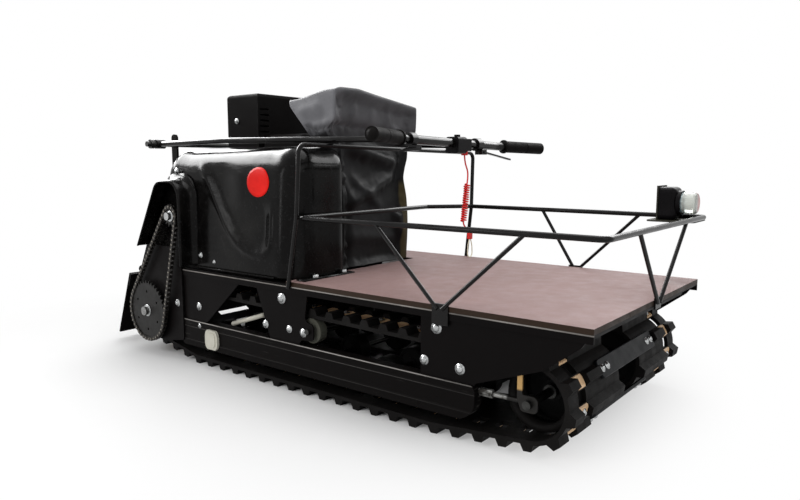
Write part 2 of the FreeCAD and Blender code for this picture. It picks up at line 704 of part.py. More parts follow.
def chain_drive():
    loop, links = chain_loop()

    def seat(wheel):
        """Angle, on the wheel, of the joint nearest to it."""
        joints = [loop.at(number * loop.pitch, 0)[0] for number in range(links)]
        nearest = min(joints, key=lambda p: abs(math.hypot(p.x - wheel[0], p.y - wheel[1])
                                                - wheel[2]) + abs(p.y - wheel[1]) / 1000)
        return math.atan2(nearest.y - wheel[1], nearest.x - wheel[0])

    big, little = loop.wheels
    large = feature("large_blank", chain_sprocket(big, int(dim.large_teeth), seat(big)))
    cuts = [rod("large_bore", "Y", "Dims.drive_x", -330, "Dims.drive_z",
                "Dims.drive_shaft_radius + Dims.running_gap", 30)]
    for number in range(6):
        angle = math.pi / 6 + number * math.pi / 3
        cuts.append(rod("large_hole_%d" % number, "Y", dim.drive_x + 52 * math.cos(angle), -330,
                        dim.drive_z + 52 * math.sin(angle), 3.5, 30))
    subpart(cut("large_sprocket", large, fuse("large_cuts", cuts)), "chain_sprocket_large")
    small = feature("small_blank", chain_sprocket(little, int(dim.small_teeth), seat(little)))
    bore = rod("small_bore", "Y", "Dims.jack_x", -330, "Dims.jack_z",
               "Dims.jack_radius + Dims.running_gap", 30)
    subpart(cut("small_sprocket", small, bore), "chain_sprocket_small")
    subpart(feature("chain", chain_links(loop, links)), "drive_chain")
    subpart(rod("jack_rod", "Y", "Dims.jack_x", -330, "Dims.jack_z", "Dims.jack_radius",
                "330 + Dims.engine_right"), "jackshaft")


# ---------------------------------------------------------------- hood

def hood():
    """Moulded cover: a rounded box open below, a sunk panel in its side, a chain arch."""
    base = dim.deck_top
    wall = dim.hood_wall

    def body(inset):
        x0 = dim.hood_rear + inset
        x1 = dim.hood_front - inset
        y0 = dim.hood_outer + inset
        y1 = dim.hood_inner - inset
        z1 = dim.hood_top - inset
        z0 = base - (0 if inset == 0 else 1)
        box = Part.makeBox(x1 - x0, y1 - y0, z1 - z0, V(x0, y0, z0))

        def rounded_edge(bounds):
            outer_top = bounds.YMax < y0 + 1 and bounds.ZMax > z1 - 1 and bounds.XLength > 1
            front_top = bounds.XMin > x1 - 1 and bounds.ZMin > z1 - 1
            rear_top = bounds.XMax < x0 + 1 and bounds.ZMin > z1 - 1
            front_outer = bounds.XMin > x1 - 1 and bounds.YMax < y0 + 1 and bounds.ZLength > 1
            return outer_top or front_top or rear_top or front_outer
        return box.makeFillet(dim.hood_radius - inset,
                              [edge for edge in box.Edges if rounded_edge(edge.BoundBox)])

    def recess(grow):
        """The sunk panel: its lower rear edge sweeps down and forward in one curve."""
        right = dim.hood_front - dim.hood_radius - 2 + grow
        top = dim.hood_top - dim.hood_radius - 2
        low = 318 - grow
        points = [V(-276 - grow, 0, top), V(-222 - grow, 0, 402), V(-150 - grow, 0, low),
                  V(right, 0, low), V(right, 0, top)]
        edges = rounded(points, [0, 90, 60, 30, 0], closed=True)
        face = Part.Face(Part.Wire([edge.toShape() for edge in edges]))
        depth = dim.recess_depth + grow
        face.translate(V(0, dim.hood_outer - 1, 0))
        return face.extrude(V(0, depth + 1, 0))

    shell = body(0).cut(recess(0)).cut(body(wall).cut(recess(wall)))

    def arch(inset, y0, y1, below):
        """The chain arch: its front wall has a toe that reaches down below its rear edge."""
        front = dim.housing_front - inset
        crest = 482 - inset
        rear = dim.housing_rear + inset
        floor_z = dim.housing_bottom - below
        points = [V(front, y0, dim.housing_toe - below), V(front, y0, crest - 7),
                  V(dim.housing_crest_x, y0, crest), V(rear, y0, floor_z),
                  V(-384 - inset, y0, floor_z), V(-346 - inset, y0, dim.housing_toe - below)]
        edges = rounded(points, [0, 45 - inset / 2, 38 - inset / 2, 0, 0, 0], closed=True)
        face = Part.Face(Part.Wire([edge.toShape() for edge in edges]))
        return face.extrude(V(0, y1 - y0, 0))

    outer = arch(0, dim.housing_outer, dim.hood_outer + wall, 0)
    inner = arch(wall, dim.housing_outer - 1, dim.hood_outer, 1)
    housing = outer.cut(inner)
    shaft_hole = Part.makeCylinder(16, 400, V(dim.jack_x, -400, dim.jack_z), V(0, 1, 0))
    front_flange = Part.makeBox(24, 166, 3, V(dim.hood_front - wall, -281, base))
    side_flange = Part.makeBox(dim.hood_front - dim.hood_rear - 66, 12, 3,
                               V(dim.hood_rear, -298, base))
    whole = shell.fuse([housing, side_flange, front_flange]).cut(shaft_hole)
    subpart(feature("hood_shell", whole.removeSplitter()), "hood")


# ---------------------------------------------------------------- engine

def engine():
    def span(low, high):
        return "Dims.%s - Dims.%s" % (high, low)

    floor_z = "Dims.deck_top - Dims.board_thick + Dims.steel_thick"
    case = block("case_box", "Dims.engine_rear", "Dims.engine_right", floor_z,
                 span("engine_rear", "engine_front"), span("engine_right", "engine_left"),
                 "Dims.crankcase_top - (%s)" % floor_z)
    case = round_edges("case_rounded", case, 18,
                       lambda b: b.ZMin > dim.crankcase_top - 1 or b.ZLength > 1)
    cylinder = block("cylinder_core", -112, -50, "Dims.crankcase_top", 88, 100,
                     "Dims.cylinder_top - Dims.crankcase_top")
    fins = [block("fin_%d" % number, -122, -62,
                  "Dims.crankcase_top + %d" % (12 + 14 * number), 108, 124, 4)
            for number in range(9)]
    subpart(fuse("engine_mass", [case, cylinder] + fins), "engine_block")

    # recoil starter: a dished drum with radial vents, on the left of the crankcase
    drum = rod("drum", "Y", "Dims.recoil_x", "Dims.engine_left", "Dims.recoil_z",
               "Dims.recoil_radius", "Dims.recoil_depth")
    drum = round_edges("drum_rounded", drum, 14,
                       lambda b: b.YMin > dim.engine_left + dim.recoil_depth - 1)
    vents = []
    for number in range(12):
        vent = Part.makeBox(34, 30, 9, V(48, dim.engine_left + dim.recoil_depth - 8, -4.5))
        vent.rotate(V(), V(0, 1, 0), 30 * number)
        vents.append(vent.translated(V(dim.recoil_x, 0, dim.recoil_z)))
    drum = cut("drum_vented", drum, feature("vents", Part.makeCompound(vents)))
    handle = block("pull_handle", "Dims.recoil_x + 62", "Dims.engine_left + Dims.recoil_depth",
                   "Dims.recoil_z + 34", 16, 18, 62)
    subpart(fuse("recoil", [drum, handle]), "recoil_starter")

    tank = block("tank_box", "Dims.tank_rear", "Dims.tank_right", "Dims.tank_bottom",
                 span("tank_rear", "tank_front"), span("tank_right", "tank_left"),
                 span("tank_bottom", "tank_top"))
    tank = round_edges("tank_rounded", tank, 22, lambda b: True)
    cap = rod("filler_cap", "Z", -217, 40, "Dims.tank_top - 4", 26, 18)
    straps = [block("tank_leg_%d" % number, -270 + 90 * number, -60, "Dims.crankcase_top - 2",
                    20, 130, "Dims.tank_bottom - Dims.crankcase_top + 6") for number in (0, 1)]
    legs = cut("tank_legs", fuse("tank_leg_pair", straps),
               block("case_clear", -400, -200, 200, 400, 400, "Dims.crankcase_top - 200"))
    subpart(fuse("tank", [tank, cap, legs]), "fuel_tank")

    guard = block("guard_box", "Dims.guard_rear", "-Dims.guard_half", "Dims.guard_bottom",
                  span("guard_rear", "guard_front"), "2 * Dims.guard_half",
                  span("guard_bottom", "guard_top"))
    guard = round_edges("guard_rounded", guard, 10, lambda b: b.ZMin > dim.guard_top - 1)
    louvres = [block("louvre_%d" % number, "Dims.guard_front - 6", -92,
                     "Dims.guard_top - %d" % (44 + 15 * number), 8, 30, 5)
               for number in range(9)]
    rear_louvres = [block("rear_louvre_%d" % number, "Dims.guard_rear - 2", -72 + 24 * number,
                          "Dims.guard_top - 150", 8, 10, 110) for number in range(7)]
    guard = cut("guard_louvred", guard, fuse("louvres", louvres + rear_louvres))
    bracket = block("guard_bracket", "Dims.engine_rear", -60, "Dims.crankcase_top",
                    span("engine_rear", "guard_front"), 120,
                    "Dims.guard_bottom - Dims.crankcase_top")
    subpart(fuse("guard", [guard, bracket]), "muffler_guard")

    def drape(inset):
        front = dim.cover_front - inset
        rear = dim.cover_front - dim.cover_depth - (0 if inset == 0 else 1)
        top = dim.cover_top - inset
        bottom = dim.deck_top + 1 - (0 if inset == 0 else 2)
        right = dim.cover_right + inset
        left = dim.cover_left - inset
        box = Part.makeBox(front - rear, left - right, top - bottom, V(rear, right, bottom))

        def soft(bounds):
            top_edge = bounds.ZMin > top - 1 and bounds.XMax > rear + 1
            front_edge = bounds.XMin > front - 1 and bounds.ZLength > 1
            return top_edge or front_edge
        return box.makeFillet(dim.cover_corner - inset,
                              [edge for edge in box.Edges if soft(edge.BoundBox)])

    # the cloth hangs to the deck in front and is cut away towards the rear at both sides
    rear = dim.cover_front - dim.cover_depth
    side_cut = [V(rear - 1, -200, dim.deck_top - 5), V(-62, -200, dim.deck_top - 5),
                V(-51, -200, 585), V(rear + 3, -200, 678), V(rear - 1, -200, 678)]
    away = Part.Face(Part.makePolygon(side_cut + side_cut[:1])).extrude(V(0, 400, 0))
    keep = Part.makeBox(dim.cover_depth, dim.cover_left - dim.cover_right - 2 * dim.cover_wall,
                        dim.cover_top - dim.deck_top,
                        V(rear, dim.cover_right + dim.cover_wall, dim.deck_top - 10))
    beside_hood = Part.makeBox(200, 200, dim.hood_top - dim.deck_top + 10,
                               V(rear - 5, dim.hood_inner + 1.5 - 200, dim.deck_top - 8))
    cloth = drape(0).cut([drape(dim.cover_wall), away.cut(keep), beside_hood])
    subpart(feature("drape", cloth), "engine_cover")


# ---------------------------------------------------------------- cargo basket

def basket():
    y = dim.rail_y
    z = dim.rail_z
    corners = [(400, -y, z), (dim.rail_front, -y, z), (dim.rail_front, y - 5, z), (122, y, z),
               (40, 196, z), (dim.rail_rear, -y, z)]
    rail = bent_rod("rail", corners, 16, "Dims.rod_diameter", closed=True)
    subpart(rail, "basket_rail")

    h = dim.hoop_y
    foot = dim.hoop_foot_y
    foot_z = dim.deck_top - 14
    legs = [(25, -foot, foot_z), (50, -h, z), (62, -h, 560), (122, h, 548), (119, h, z),
            (99, foot, foot_z)]
    subpart(bent_rod("hoop", legs, 18, "Dims.hoop_diameter"), "tiller_rest_hoop")

    # three V-shaped pairs of struts, each welded to a tab that is bolted to the frame
    radius = dim.strut_diameter / 2
    spread = 5
    side_foot = dim.deck_width / 2 + radius + 1
    front = dim.deck_front
    pairs = {
        "right": (V(432, -side_foot, 252), V(spread, 0, 0), V(263, -y, z), V(596, -y, z)),
        "left": (V(432, side_foot, 252), V(spread, 0, 0), V(343, y - 3, z), V(595, y - 4, z)),
        "front": (V(front + radius + 0.5, 8, 252), V(0, spread, 0),
                  V(dim.rail_front, -141, z), V(dim.rail_front, 143, z)),
    }
    tabs = {"right": (414, "-Dims.deck_width / 2 - Dims.plate_thick", 222, 36,
                      "Dims.plate_thick", 40),
            "left": (414, "Dims.deck_width / 2", 222, 36, "Dims.plate_thick", 40),
            "front": ("Dims.deck_front", -8, 240, "Dims.plate_thick", 32, 22)}
    welded = []
    for name, (middle, step, first, second) in pairs.items():
        rods = []
        for end, low in ((first, middle - step), (second, middle + step)):
            rods.append(Part.makeCylinder(radius, (end - low).Length, low, end - low))
        tab = block("strut_tab_" + name, *tabs[name])
        coped = cut("strut_rods_coped_" + name, feature("strut_rods_" + name,
                                                         rods[0].fuse(rods[1])), rail)
        welded.append(fuse("strut_pair_" + name, [tab, coped]))
    subpart(group("struts", welded), "basket_struts")


def headlight():
    plate_z = "Dims.rail_z - Dims.rod_diameter / 2 - 3"
    depth = "Dims.lamp_front - Dims.lamp_rear"
    width = "Dims.lamp_left - Dims.lamp_right"
    middle_y = "(Dims.lamp_left + Dims.lamp_right) / 2"
    middle_z = "Dims.rail_z + Dims.lamp_height / 2 - 4"

    # corner plate under the two rails, with an upright behind the lamp
    corner = block("lamp_plate", 636, 196, plate_z, 102, 94, 3)
    corner = round_edges("lamp_plate_rounded", corner, 14,
                         lambda b: b.ZLength > 1 and b.YMax < 200)
    upright = block("lamp_upright", "Dims.lamp_rear - 4", "Dims.lamp_right - 3", plate_z,
                    3, width + " + 6", "Dims.lamp_height + 6")
    subpart(fuse("lamp_bracket", [corner, upright]), "headlight_bracket")

    box = block("lamp_box", "Dims.lamp_rear - 1", "Dims.lamp_right",
                "Dims.rail_z - Dims.rod_diameter / 2", depth, width, "Dims.lamp_height")
    box = round_edges("lamp_box_rounded", box, 12,
                      lambda b: b.XLength > 1 or b.XMin > dim.lamp_front - 3)
    bezel = rod("lamp_bezel", "X", "Dims.lamp_front - 2", middle_y, middle_z,
                "Dims.lens_radius + 3", 9)
    knob = rod("lamp_knob", "X", "Dims.lamp_front - 2", middle_y + " + 16",
               "Dims.rail_z + 3", 4, 5)
    housing = fuse("lamp_body", [box, bezel, knob])
    seat = rod("lamp_seat", "X", "Dims.lamp_front", middle_y, middle_z, "Dims.lens_radius", 9)
    subpart(cut("lamp_housing", housing, seat), "headlight_housing")

    # the lens is a deep barrel with a rounded rim
    lens = rod("lens_disc", "X", "Dims.lamp_front", middle_y, middle_z,
               "Dims.lens_radius - Dims.running_gap", "Dims.lens_reach")
    lens = round_edges("lens_domed", lens, 7, lambda b: b.XMin > dim.lamp_front + 1)
    subpart(lens, "headlight_lens")


# ---------------------------------------------------------------- tiller

def tiller():
    base = "Dims.deck_top - Dims.board_thick + Dims.steel_thick"
    posts = []
    for side, sign in SIDES.items():
        centre = "%d * Dims.post_y" % sign
        post = block("post_" + side, "Dims.pivot_x - 12", centre + " - 3", base,
                     24, 6, "Dims.pivot_z + 28 - (%s)" % base)
        post = round_edges("post_rounded_" + side, post, 11,
                           lambda b: b.YLength > 1 and b.ZMin > dim.pivot_z + 27)
        foot = block("post_foot_" + side, "Dims.pivot_x - 26", centre + " - 20", base, 52, 40, 4)
        rib = block("post_rib_" + side, "Dims.pivot_x - 3", centre + " - 15", base, 6, 30, 60)
        hole = rod("post_hole_" + side, "Y", "Dims.pivot_x", centre + " - 4", "Dims.pivot_z",
                   "Dims.pivot_radius + Dims.running_gap", 8)
        posts.append(cut("post_cut_" + side, fuse("post_weld_" + side, [post, foot, rib]), hole))
    subpart(group("posts", posts), "tiller_posts")

    # the pivot rod has a collar outside each arm
    shaft = rod("pivot", "Y", "Dims.pivot_x", "-Dims.pivot_half", "Dims.pivot_z",
                "Dims.pivot_radius", "2 * Dims.pivot_half")
    collars = [rod("pivot_collar_" + side, "Y", "Dims.pivot_x",
                   "%d * (Dims.arm_rear_y + 25) - 5" % sign, "Dims.pivot_z",
                   "Dims.pivot_radius + 5", 10) for side, sign in SIDES.items()]
    subpart(fuse("pivot_collared", [shaft] + collars), "tiller_pivot_rod")

    def swept(points, bend, radius):
        """A round tube through the points, with bends of one radius."""
        edges = rounded(points, [0] + [bend] * (len(points) - 2) + [0])
        spine = Part.Wire([edge.toShape() for edge in edges])
        ring = Part.makeCircle(radius, points[0], points[1] - points[0])
        return spine.makePipeShell([Part.Wire([ring])], True, False)

    barrel_half = 13
    bar_slope = 4
    shapes = []
    for sign in SIDES.values():
        y = sign * dim.arm_rear_y
        barrel = Part.makeCylinder(12, 2 * barrel_half, V(dim.pivot_x, y - barrel_half,
                                                          dim.pivot_z), V(0, 1, 0))
        bore = Part.makeCylinder(dim.pivot_radius + dim.running_gap, 2 * barrel_half + 4,
                                 V(dim.pivot_x, y - barrel_half - 2, dim.pivot_z), V(0, 1, 0))
        points = [V(dim.pivot_x + 8, y, dim.pivot_z),
                  V(dim.pivot_x + 250, sign * 239, dim.pivot_z + 5),
                  V(dim.bar_x, sign * dim.arm_front_y, dim.bar_z - sign * bar_slope)]
        shapes.append(barrel.fuse(swept(points, 200, dim.arm_diameter / 2)).cut(bore))
    tip_x = dim.bar_x + 45
    ends = [V(tip_x, -dim.bar_half, dim.bar_z + 8), V(dim.bar_x, -185, dim.bar_z + bar_slope),
            V(dim.bar_x, 185, dim.bar_z - bar_slope), V(tip_x, dim.bar_half, dim.bar_z - 8)]
    handlebar = feature("bar", swept(ends, 60, dim.bar_diameter / 2))
    arms = feature("arms", Part.makeCompound(shapes))
    subpart(cut("arms_coped", arms, handlebar), "tiller_arms")
    subpart(handlebar, "handlebar")

    # grips with a flange at the inner end and rings along them
    for side, outer, inner in (("right", ends[0], ends[1]), ("left", ends[3], ends[2])):
        heading = (inner - outer).normalize()
        start = outer - heading * 4
        radius = dim.grip_diameter / 2
        grip = Part.makeCylinder(radius, dim.grip_length, start, heading)
        flange = Part.makeCylinder(radius + 2.5, 4, start + heading * (dim.grip_length - 4), heading)
        cap = Part.makeSphere(radius, start + heading * 9).common(
            Part.makeCylinder(radius, 12, start - heading * 6, heading))
        rings = [Part.makeTorus(radius + 0.6, 1.6, start + heading * (26 + 11 * number), heading)
                 for number in range(9)]
        grip = grip.fuse([flange, cap]).cut(rings)
        hole = Part.makeCylinder(dim.bar_diameter / 2, dim.grip_length + 10, outer, heading)
        subpart(feature("grip_" + side, grip.cut(hole)), "grip_" + side)

    # stop switch: a split box on the bar with a shallower end that the lanyard cap clips under
    switch = block("switch_box", "Dims.bar_x - 18", -6, "Dims.bar_z - 24", 36, 36, 38)
    switch = round_edges("switch_rounded", switch, 7, lambda b: b.YLength > 1)
    step = block("switch_step", "Dims.bar_x - 14", 30, "Dims.bar_z - 18", 28, 26, 28)
    button = rod("switch_button", "Z", "Dims.bar_x + 2", 12, "Dims.bar_z + 12", 7, 7)
    subpart(cut("switch_cut", fuse("switch_body", [switch, step, button]), handlebar),
            "switch_block")

    def lever(name, y, width, tip, centre_z):
        """A clamp ring on the bar, a pivot boss in front of it and a tapered, sloping blade."""
        ring = Part.makeCylinder(15, width, V(dim.bar_x, y, centre_z), V(0, 1, 0))
        boss = Part.makeBox(20, width, 12, V(dim.bar_x + 2, y, centre_z - 24))
        side = 1 if tip.y > y else -1
        root = V(dim.bar_x + 16, y + (width if side > 0 else 0) - side * 16, centre_z - 19)
        length = (tip - root).Length
        outline_points = [V(0, -9, 0), V(length * 0.25, -8, 0), V(length, -5, 0),
                          V(length, 5, 0), V(length * 0.25, 8, 0), V(0, 9, 0)]
        edges = rounded(outline_points, [3, 30, 4.5, 4.5, 30, 3], closed=True)
        blade = Part.Face(Part.Wire([edge.toShape() for edge in edges])).extrude(V(0, 0, 4))
        blade.Placement = FreeCAD.Placement(root, FreeCAD.Rotation(V(1, 0, 0), tip - root))
        shape = ring.fuse([boss, blade])
        return cut(name, feature(name + "_shape", shape), handlebar)

    subpart(lever("brake", 90, 22, V(dim.bar_x + 20, 228, 527), dim.bar_z - 1.9),
            "brake_lever")
    subpart(lever("throttle", -172, 18, V(dim.bar_x + 17.5, -218, 543.5), dim.bar_z + 3.4),
            "throttle_lever")


# ---------------------------------------------------------------- kill-switch lanyard

def cord_tube(points, diameter):
    """A tube along straight runs joined by the largest tangent arcs that the runs allow."""
    points = [V(*point) for point in points]
    radii = [0.0] * len(points)
    for i in range(1, len(points) - 1):
        before = (points[i - 1] - points[i]).normalize()
        after = (points[i + 1] - points[i]).normalize()
        half_turn = (math.pi - math.acos(max(-1.0, min(1.0, before.dot(after))))) / 2
        shorter = min((points[i] - points[i - 1]).Length, (points[i + 1] - points[i]).Length)
        radii[i] = 0.45 * shorter / math.tan(half_turn)
    spine = Part.Wire([edge.toShape() for edge in rounded(points, radii)])
    section = Part.Wire([Part.makeCircle(diameter / 2, points[0], points[1] - points[0])])
    tube = spine.makePipeShell([section], True, False)
    exact = math.pi * diameter ** 2 / 4 * spine.Length
    print("cord tube %.0f mm long, radii %s, volume ratio %.4f"
          % (spine.Length, [round(r, 1) for r in radii[1:-1]], tube.Volume / exact))
    return tube


def lanyard():
    """A coiled cord with straight ends, a strap loop, and the fittings at their ends."""
    x = dim.bar_x
    cap_y = 47
    cap_z = dim.bar_z - 28
    cap = rod("cap_body", "Z", "Dims.bar_x", cap_y, cap_z, 8, 10)
    subpart(round_edges("cap_rounded", cap, 2, lambda b: b.ZMax < cap_z + 1), "lanyard_cap")

    cord = 3.6
    coil_top = (x, 60, 472)
    coil_end = (x, 45, 380)
    lead = cord_tube([(x, cap_y, cap_z), (x, 49, 520), (x, 62, 503), (x, 63, 487), coil_top],
                     cord)
    tail = cord_tube([coil_end, (x, 49, 371), (x, 60, 365), (x, 70, 361), (x, 74, 353)], cord)
    subpart(feature("thin_cord", Part.makeCompound([lead, tail])), "lanyard_cord")
    coil = cord_tube([coil_top, (x, 54.5, 426), coil_end], 16)
    subpart(feature("coil", coil), "lanyard_coil")

    clip = block("clip_box", "Dims.bar_x - 4", 69, 337, 8, 12, 16)
    clip = round_edges("clip_rounded", clip, 2.5, lambda b: b.XLength > 1)
    subpart(clip, "lanyard_clip")

    # the strap's lower bend is half of an octagon drawn round a circle
    bend = 10
    corner = bend * math.tan(math.pi / 8)
    middle = 76
    low = 293
    strap = cord_tube([(x, 73, 338), (x, 68, 326), (x, middle - bend, 312),
                       (x, middle - bend, low + bend - corner), (x, middle - corner, low),
                       (x, middle + corner, low), (x, middle + bend, low + bend - corner),
                       (x, middle + bend, 311), (x, 84, 325), (x, 78, 337)], 2.4)
    subpart(feature("strap", strap), "lanyard_strap")


# ---------------------------------------------------------------- rear

def rear_end():
    # the flap hangs straight down and back; its bar lies against its front face
    tip = V(-745, 0, 23)
    crown = V(dim.flap_top_x, 0, dim.flap_top_z)
    along = (tip - crown).normalize()
    forward = V(-along.z, 0, along.x)

    def strip_profile(near, far, length):
        """A sloping strip between two depths in front of the flap's rear face."""
        corners = [crown + forward * near, crown + forward * near + along * length,
                   crown + forward * far + along * length, crown + forward * far]
        return [(corner.x, corner.z) for corner in corners]

    length = (tip - crown).Length
    subpart(plate("flap", [strip_profile(0, dim.flap_thick, length)], -dim.flap_half,
                  "2 * Dims.flap_half"), "mud_flap")

    bar_far = dim.flap_thick + dim.plate_thick
    bar = plate("flap_bar", [strip_profile(dim.flap_thick, bar_far, 37)], -dim.flap_half,
                "2 * Dims.flap_half")
    arm = [(dim.frame_rear, 245), (dim.frame_rear, 223), (-618, 172), (-676, 172),
           (-665, 202), (-648, 245)]
    arms = [cut("flap_arm_trimmed_" + side,
                plate("flap_arm_" + side, [arm], sign * 200 - 2, "Dims.plate_thick"), bar)
            for side, sign in SIDES.items()]
    subpart(group("flap_arm_pair", arms), "flap_arms")
    subpart(bar, "flap_carrier")

    buffers = [rod("buffer_" + side, "X", "Dims.frame_rear - 42", sign * 281, 226, 9, 42)
               for side, sign in SIDES.items()]
    subpart(group("buffers", buffers), "rear_buffers")

    plates = []
    for name, z in (("low", 222), ("high", 239)):
        ear = block("hitch_" + name, -644, -25, z, "Dims.frame_rear + 644", 50, 6)
        plates.append(round_edges("hitch_rounded_" + name, ear, 20,
                                  lambda b: b.ZLength > 1 and b.XMax < -600))
    hole = rod("hitch_hole", "Z", "Dims.hitch_pin_x", 0, 200, "Dims.hitch_pin_radius", 60)
    subpart(cut("hitch", group("hitch_pair", plates), hole), "tow_hitch")


deck()
side_frames()
running_gear(track())
chain_drive()
hood()
engine()
basket()
headlight()
tiller()
lanyard()
rear_end()
doc.recompute()

problems = [item.Label for item in doc.Objects
            if "Invalid" in item.State or "Error" in item.State]
for item in subparts:
    if item.Shape.isNull() or not item.Shape.isValid() or not item.Shape.Solids:
        problems.append(item.Label + " has a bad shape")
if problems:
    raise RuntimeError("the model did not build: " + ", ".join(problems))

os.makedirs("parts", exist_ok=True)
for item in subparts:
    item.Shape.exportStep("parts/%s.step" % item.Label)
print("%d sub-parts written" % len(subparts))
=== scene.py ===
"""Looks of the tracked snow towing vehicle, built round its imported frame.

Frame, in metres: +X forward (towards the cargo deck), +Y left, +Z up, the ground at Z = 0.
"Right" pieces are on the -Y side, where the chain and the moulded hood are.
"""
import functools
import math

import bmesh
import bpy
import numpy as np
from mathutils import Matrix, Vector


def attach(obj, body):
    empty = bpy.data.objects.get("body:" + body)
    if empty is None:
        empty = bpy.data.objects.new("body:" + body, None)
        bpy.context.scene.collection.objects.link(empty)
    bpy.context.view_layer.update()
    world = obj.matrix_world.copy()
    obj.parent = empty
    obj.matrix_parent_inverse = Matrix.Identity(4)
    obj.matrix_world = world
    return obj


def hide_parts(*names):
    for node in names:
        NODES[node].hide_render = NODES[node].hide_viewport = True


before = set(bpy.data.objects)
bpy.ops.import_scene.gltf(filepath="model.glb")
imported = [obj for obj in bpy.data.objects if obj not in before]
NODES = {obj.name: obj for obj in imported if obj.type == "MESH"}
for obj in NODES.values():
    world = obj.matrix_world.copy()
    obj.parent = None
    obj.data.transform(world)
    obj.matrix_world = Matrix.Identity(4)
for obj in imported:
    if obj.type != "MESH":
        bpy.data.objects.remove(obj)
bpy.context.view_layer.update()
FORWARD, RIGHT, LEFT, UP = (1, 0, 0), (0, -1, 0), (0, 1, 0), (0, 0, 1)


# ---------------------------------------------------------------- finishes

# the Mix node's colour sockets, which share their names with its other sockets
MIX_ONE, MIX_TWO, MIX_RESULT = 6, 7, 2


def add_node(tree, kind, sockets, **settings):
    """A shader node: settings are its own values, and sockets gives an input, by name or
    number, its value or the output that feeds it."""
    node = tree.nodes.new("ShaderNode" + kind)
    for name, value in settings.items():
        setattr(node, name, value)
    for socket, value in sockets.items():
        if isinstance(value, bpy.types.NodeSocket):
            tree.links.new(value, node.inputs[socket])
        else:
            node.inputs[socket].default_value = value
    return node


class Finish:
    """A Principled surface whose colour, roughness and bump come from patterns on Object
    coordinates."""

    def __init__(self, name, colour, roughness, **sockets):
        self.material = bpy.data.materials.new(name)
        self.material.use_nodes = True
        self.tree = self.material.node_tree
        self.shader = self.tree.nodes["Principled BSDF"]
        self.shader.inputs["Base Color"].default_value = (*colour, 1)
        self.shader.inputs["Roughness"].default_value = roughness
        for socket, value in sockets.items():
            self.shader.inputs[socket.replace("_", " ")].default_value = value
        self.coords = self.add("TexCoord").outputs["Object"]
        self.relief = None

    def add(self, kind, sockets=None, **settings):
        return add_node(self.tree, kind, sockets or {}, **settings)

    def stretched(self, scale):
        """Coordinates scaled along each axis."""
        return self.add("Mapping", {"Vector": self.coords, "Scale": scale}).outputs["Vector"]

    def noise(self, scale, detail=3.0, rough=0.55, source=None, distortion=0.0):
        node = self.add("TexNoise", {"Vector": source or self.coords, "Scale": scale,
                                     "Detail": detail, "Roughness": rough,
                                     "Distortion": distortion})
        return node.outputs["Fac"]

    def waves(self, scale, axis, distortion=0.0, detail=0.0):
        node = self.add("TexWave", {"Vector": self.coords, "Scale": scale, "Detail": detail,
                                    "Distortion": distortion}, bands_direction=axis)
        return node.outputs["Fac"]

    def ramp(self, value, low, high, start=0.0, end=1.0):
        """The value rescaled from low..high to start..end, and clamped."""
        node = self.add("MapRange", {"Value": value, "From Min": low, "From Max": high,
                                     "To Min": start, "To Max": end})
        return node.outputs["Result"]

    def math(self, operation, one, two=0.0):
        return self.add("Math", {0: one, 1: two}, operation=operation).outputs["Value"]

    def product(self, *values):
        return functools.reduce(functools.partial(self.math, "MULTIPLY"), values)

    def largest(self, *values):
        return functools.reduce(functools.partial(self.math, "MAXIMUM"), values)

    def axis(self, name):
        """One of the Object coordinates, in metres."""
        return self.add("SeparateXYZ", {"Vector": self.coords}).outputs[name]

    def off(self, axis, level):
        """Distance along an axis from a level."""
        return self.math("ABSOLUTE", self.math("SUBTRACT", self.axis(axis), level))

    def zone(self, axis, start, end, full=1.0):
        """0 up to the start of a stretch of an axis, and full from its end on."""
        return self.ramp(self.axis(axis), start, end, 0.0, full)

    def edges(self):
        """0 on a flat face and towards 1 at an edge."""
        bevelled = self.add("Bevel", {"Radius": 0.0015}).outputs["Normal"]
        plain = self.add("NewGeometry").outputs["Normal"]
        dot = self.add("VectorMath", {0: bevelled, 1: plain}, operation="DOT_PRODUCT")
        return self.ramp(dot.outputs["Value"], 1.0, 0.75)

    def mix(self, share, one, two):
        """Colour that goes from one to two by the share."""
        one, two = ((*value, 1) if isinstance(value, tuple) else value for value in (one, two))
        node = self.add("Mix", {"Factor": share, MIX_ONE: one, MIX_TWO: two},
                        data_type="RGBA")
        return node.outputs[MIX_RESULT]

    def colour(self, value):
        self.tree.links.new(value, self.shader.inputs["Base Color"])

    def rough(self, pattern, start, end, least, most):
        """Roughness from least to most as the pattern goes from start to end."""
        roughness = self.ramp(pattern, start, end, least, most)
        self.tree.links.new(roughness, self.shader.inputs["Roughness"])

    def bump(self, height, distance, strength):
        """Relief of a height pattern, on top of the relief that is there."""
        sockets = {"Height": height, "Distance": distance, "Strength": strength}
        if self.relief:
            sockets["Normal"] = self.relief
        self.relief = self.add("Bump", sockets).outputs["Normal"]
        self.tree.links.new(self.relief, self.shader.inputs["Normal"])


def painted(name, colour, roughness, shine=0.035, peel=0.00012):
    """Black coating: orange-peel bump, dust that dulls it in patches, paler rubbed edges."""
    paint = Finish(name, colour, roughness, Specular_IOR_Level=shine)
    dusty = tuple(value + 0.003 for value in colour)
    base = paint.mix(paint.ramp(paint.noise(9, 5), 0.45, 0.75), colour, dusty)
    rubbed = paint.product(paint.edges(), paint.ramp(paint.noise(60, 4), 0.45, 0.62))
    paint.colour(paint.mix(rubbed, base, (0.03, 0.03, 0.03)))
    paint.rough(paint.noise(22, 4), 0.3, 0.75, roughness - 0.06, roughness + 0.14)
    paint.bump(paint.noise(420, 2), peel, 0.5)
    return paint


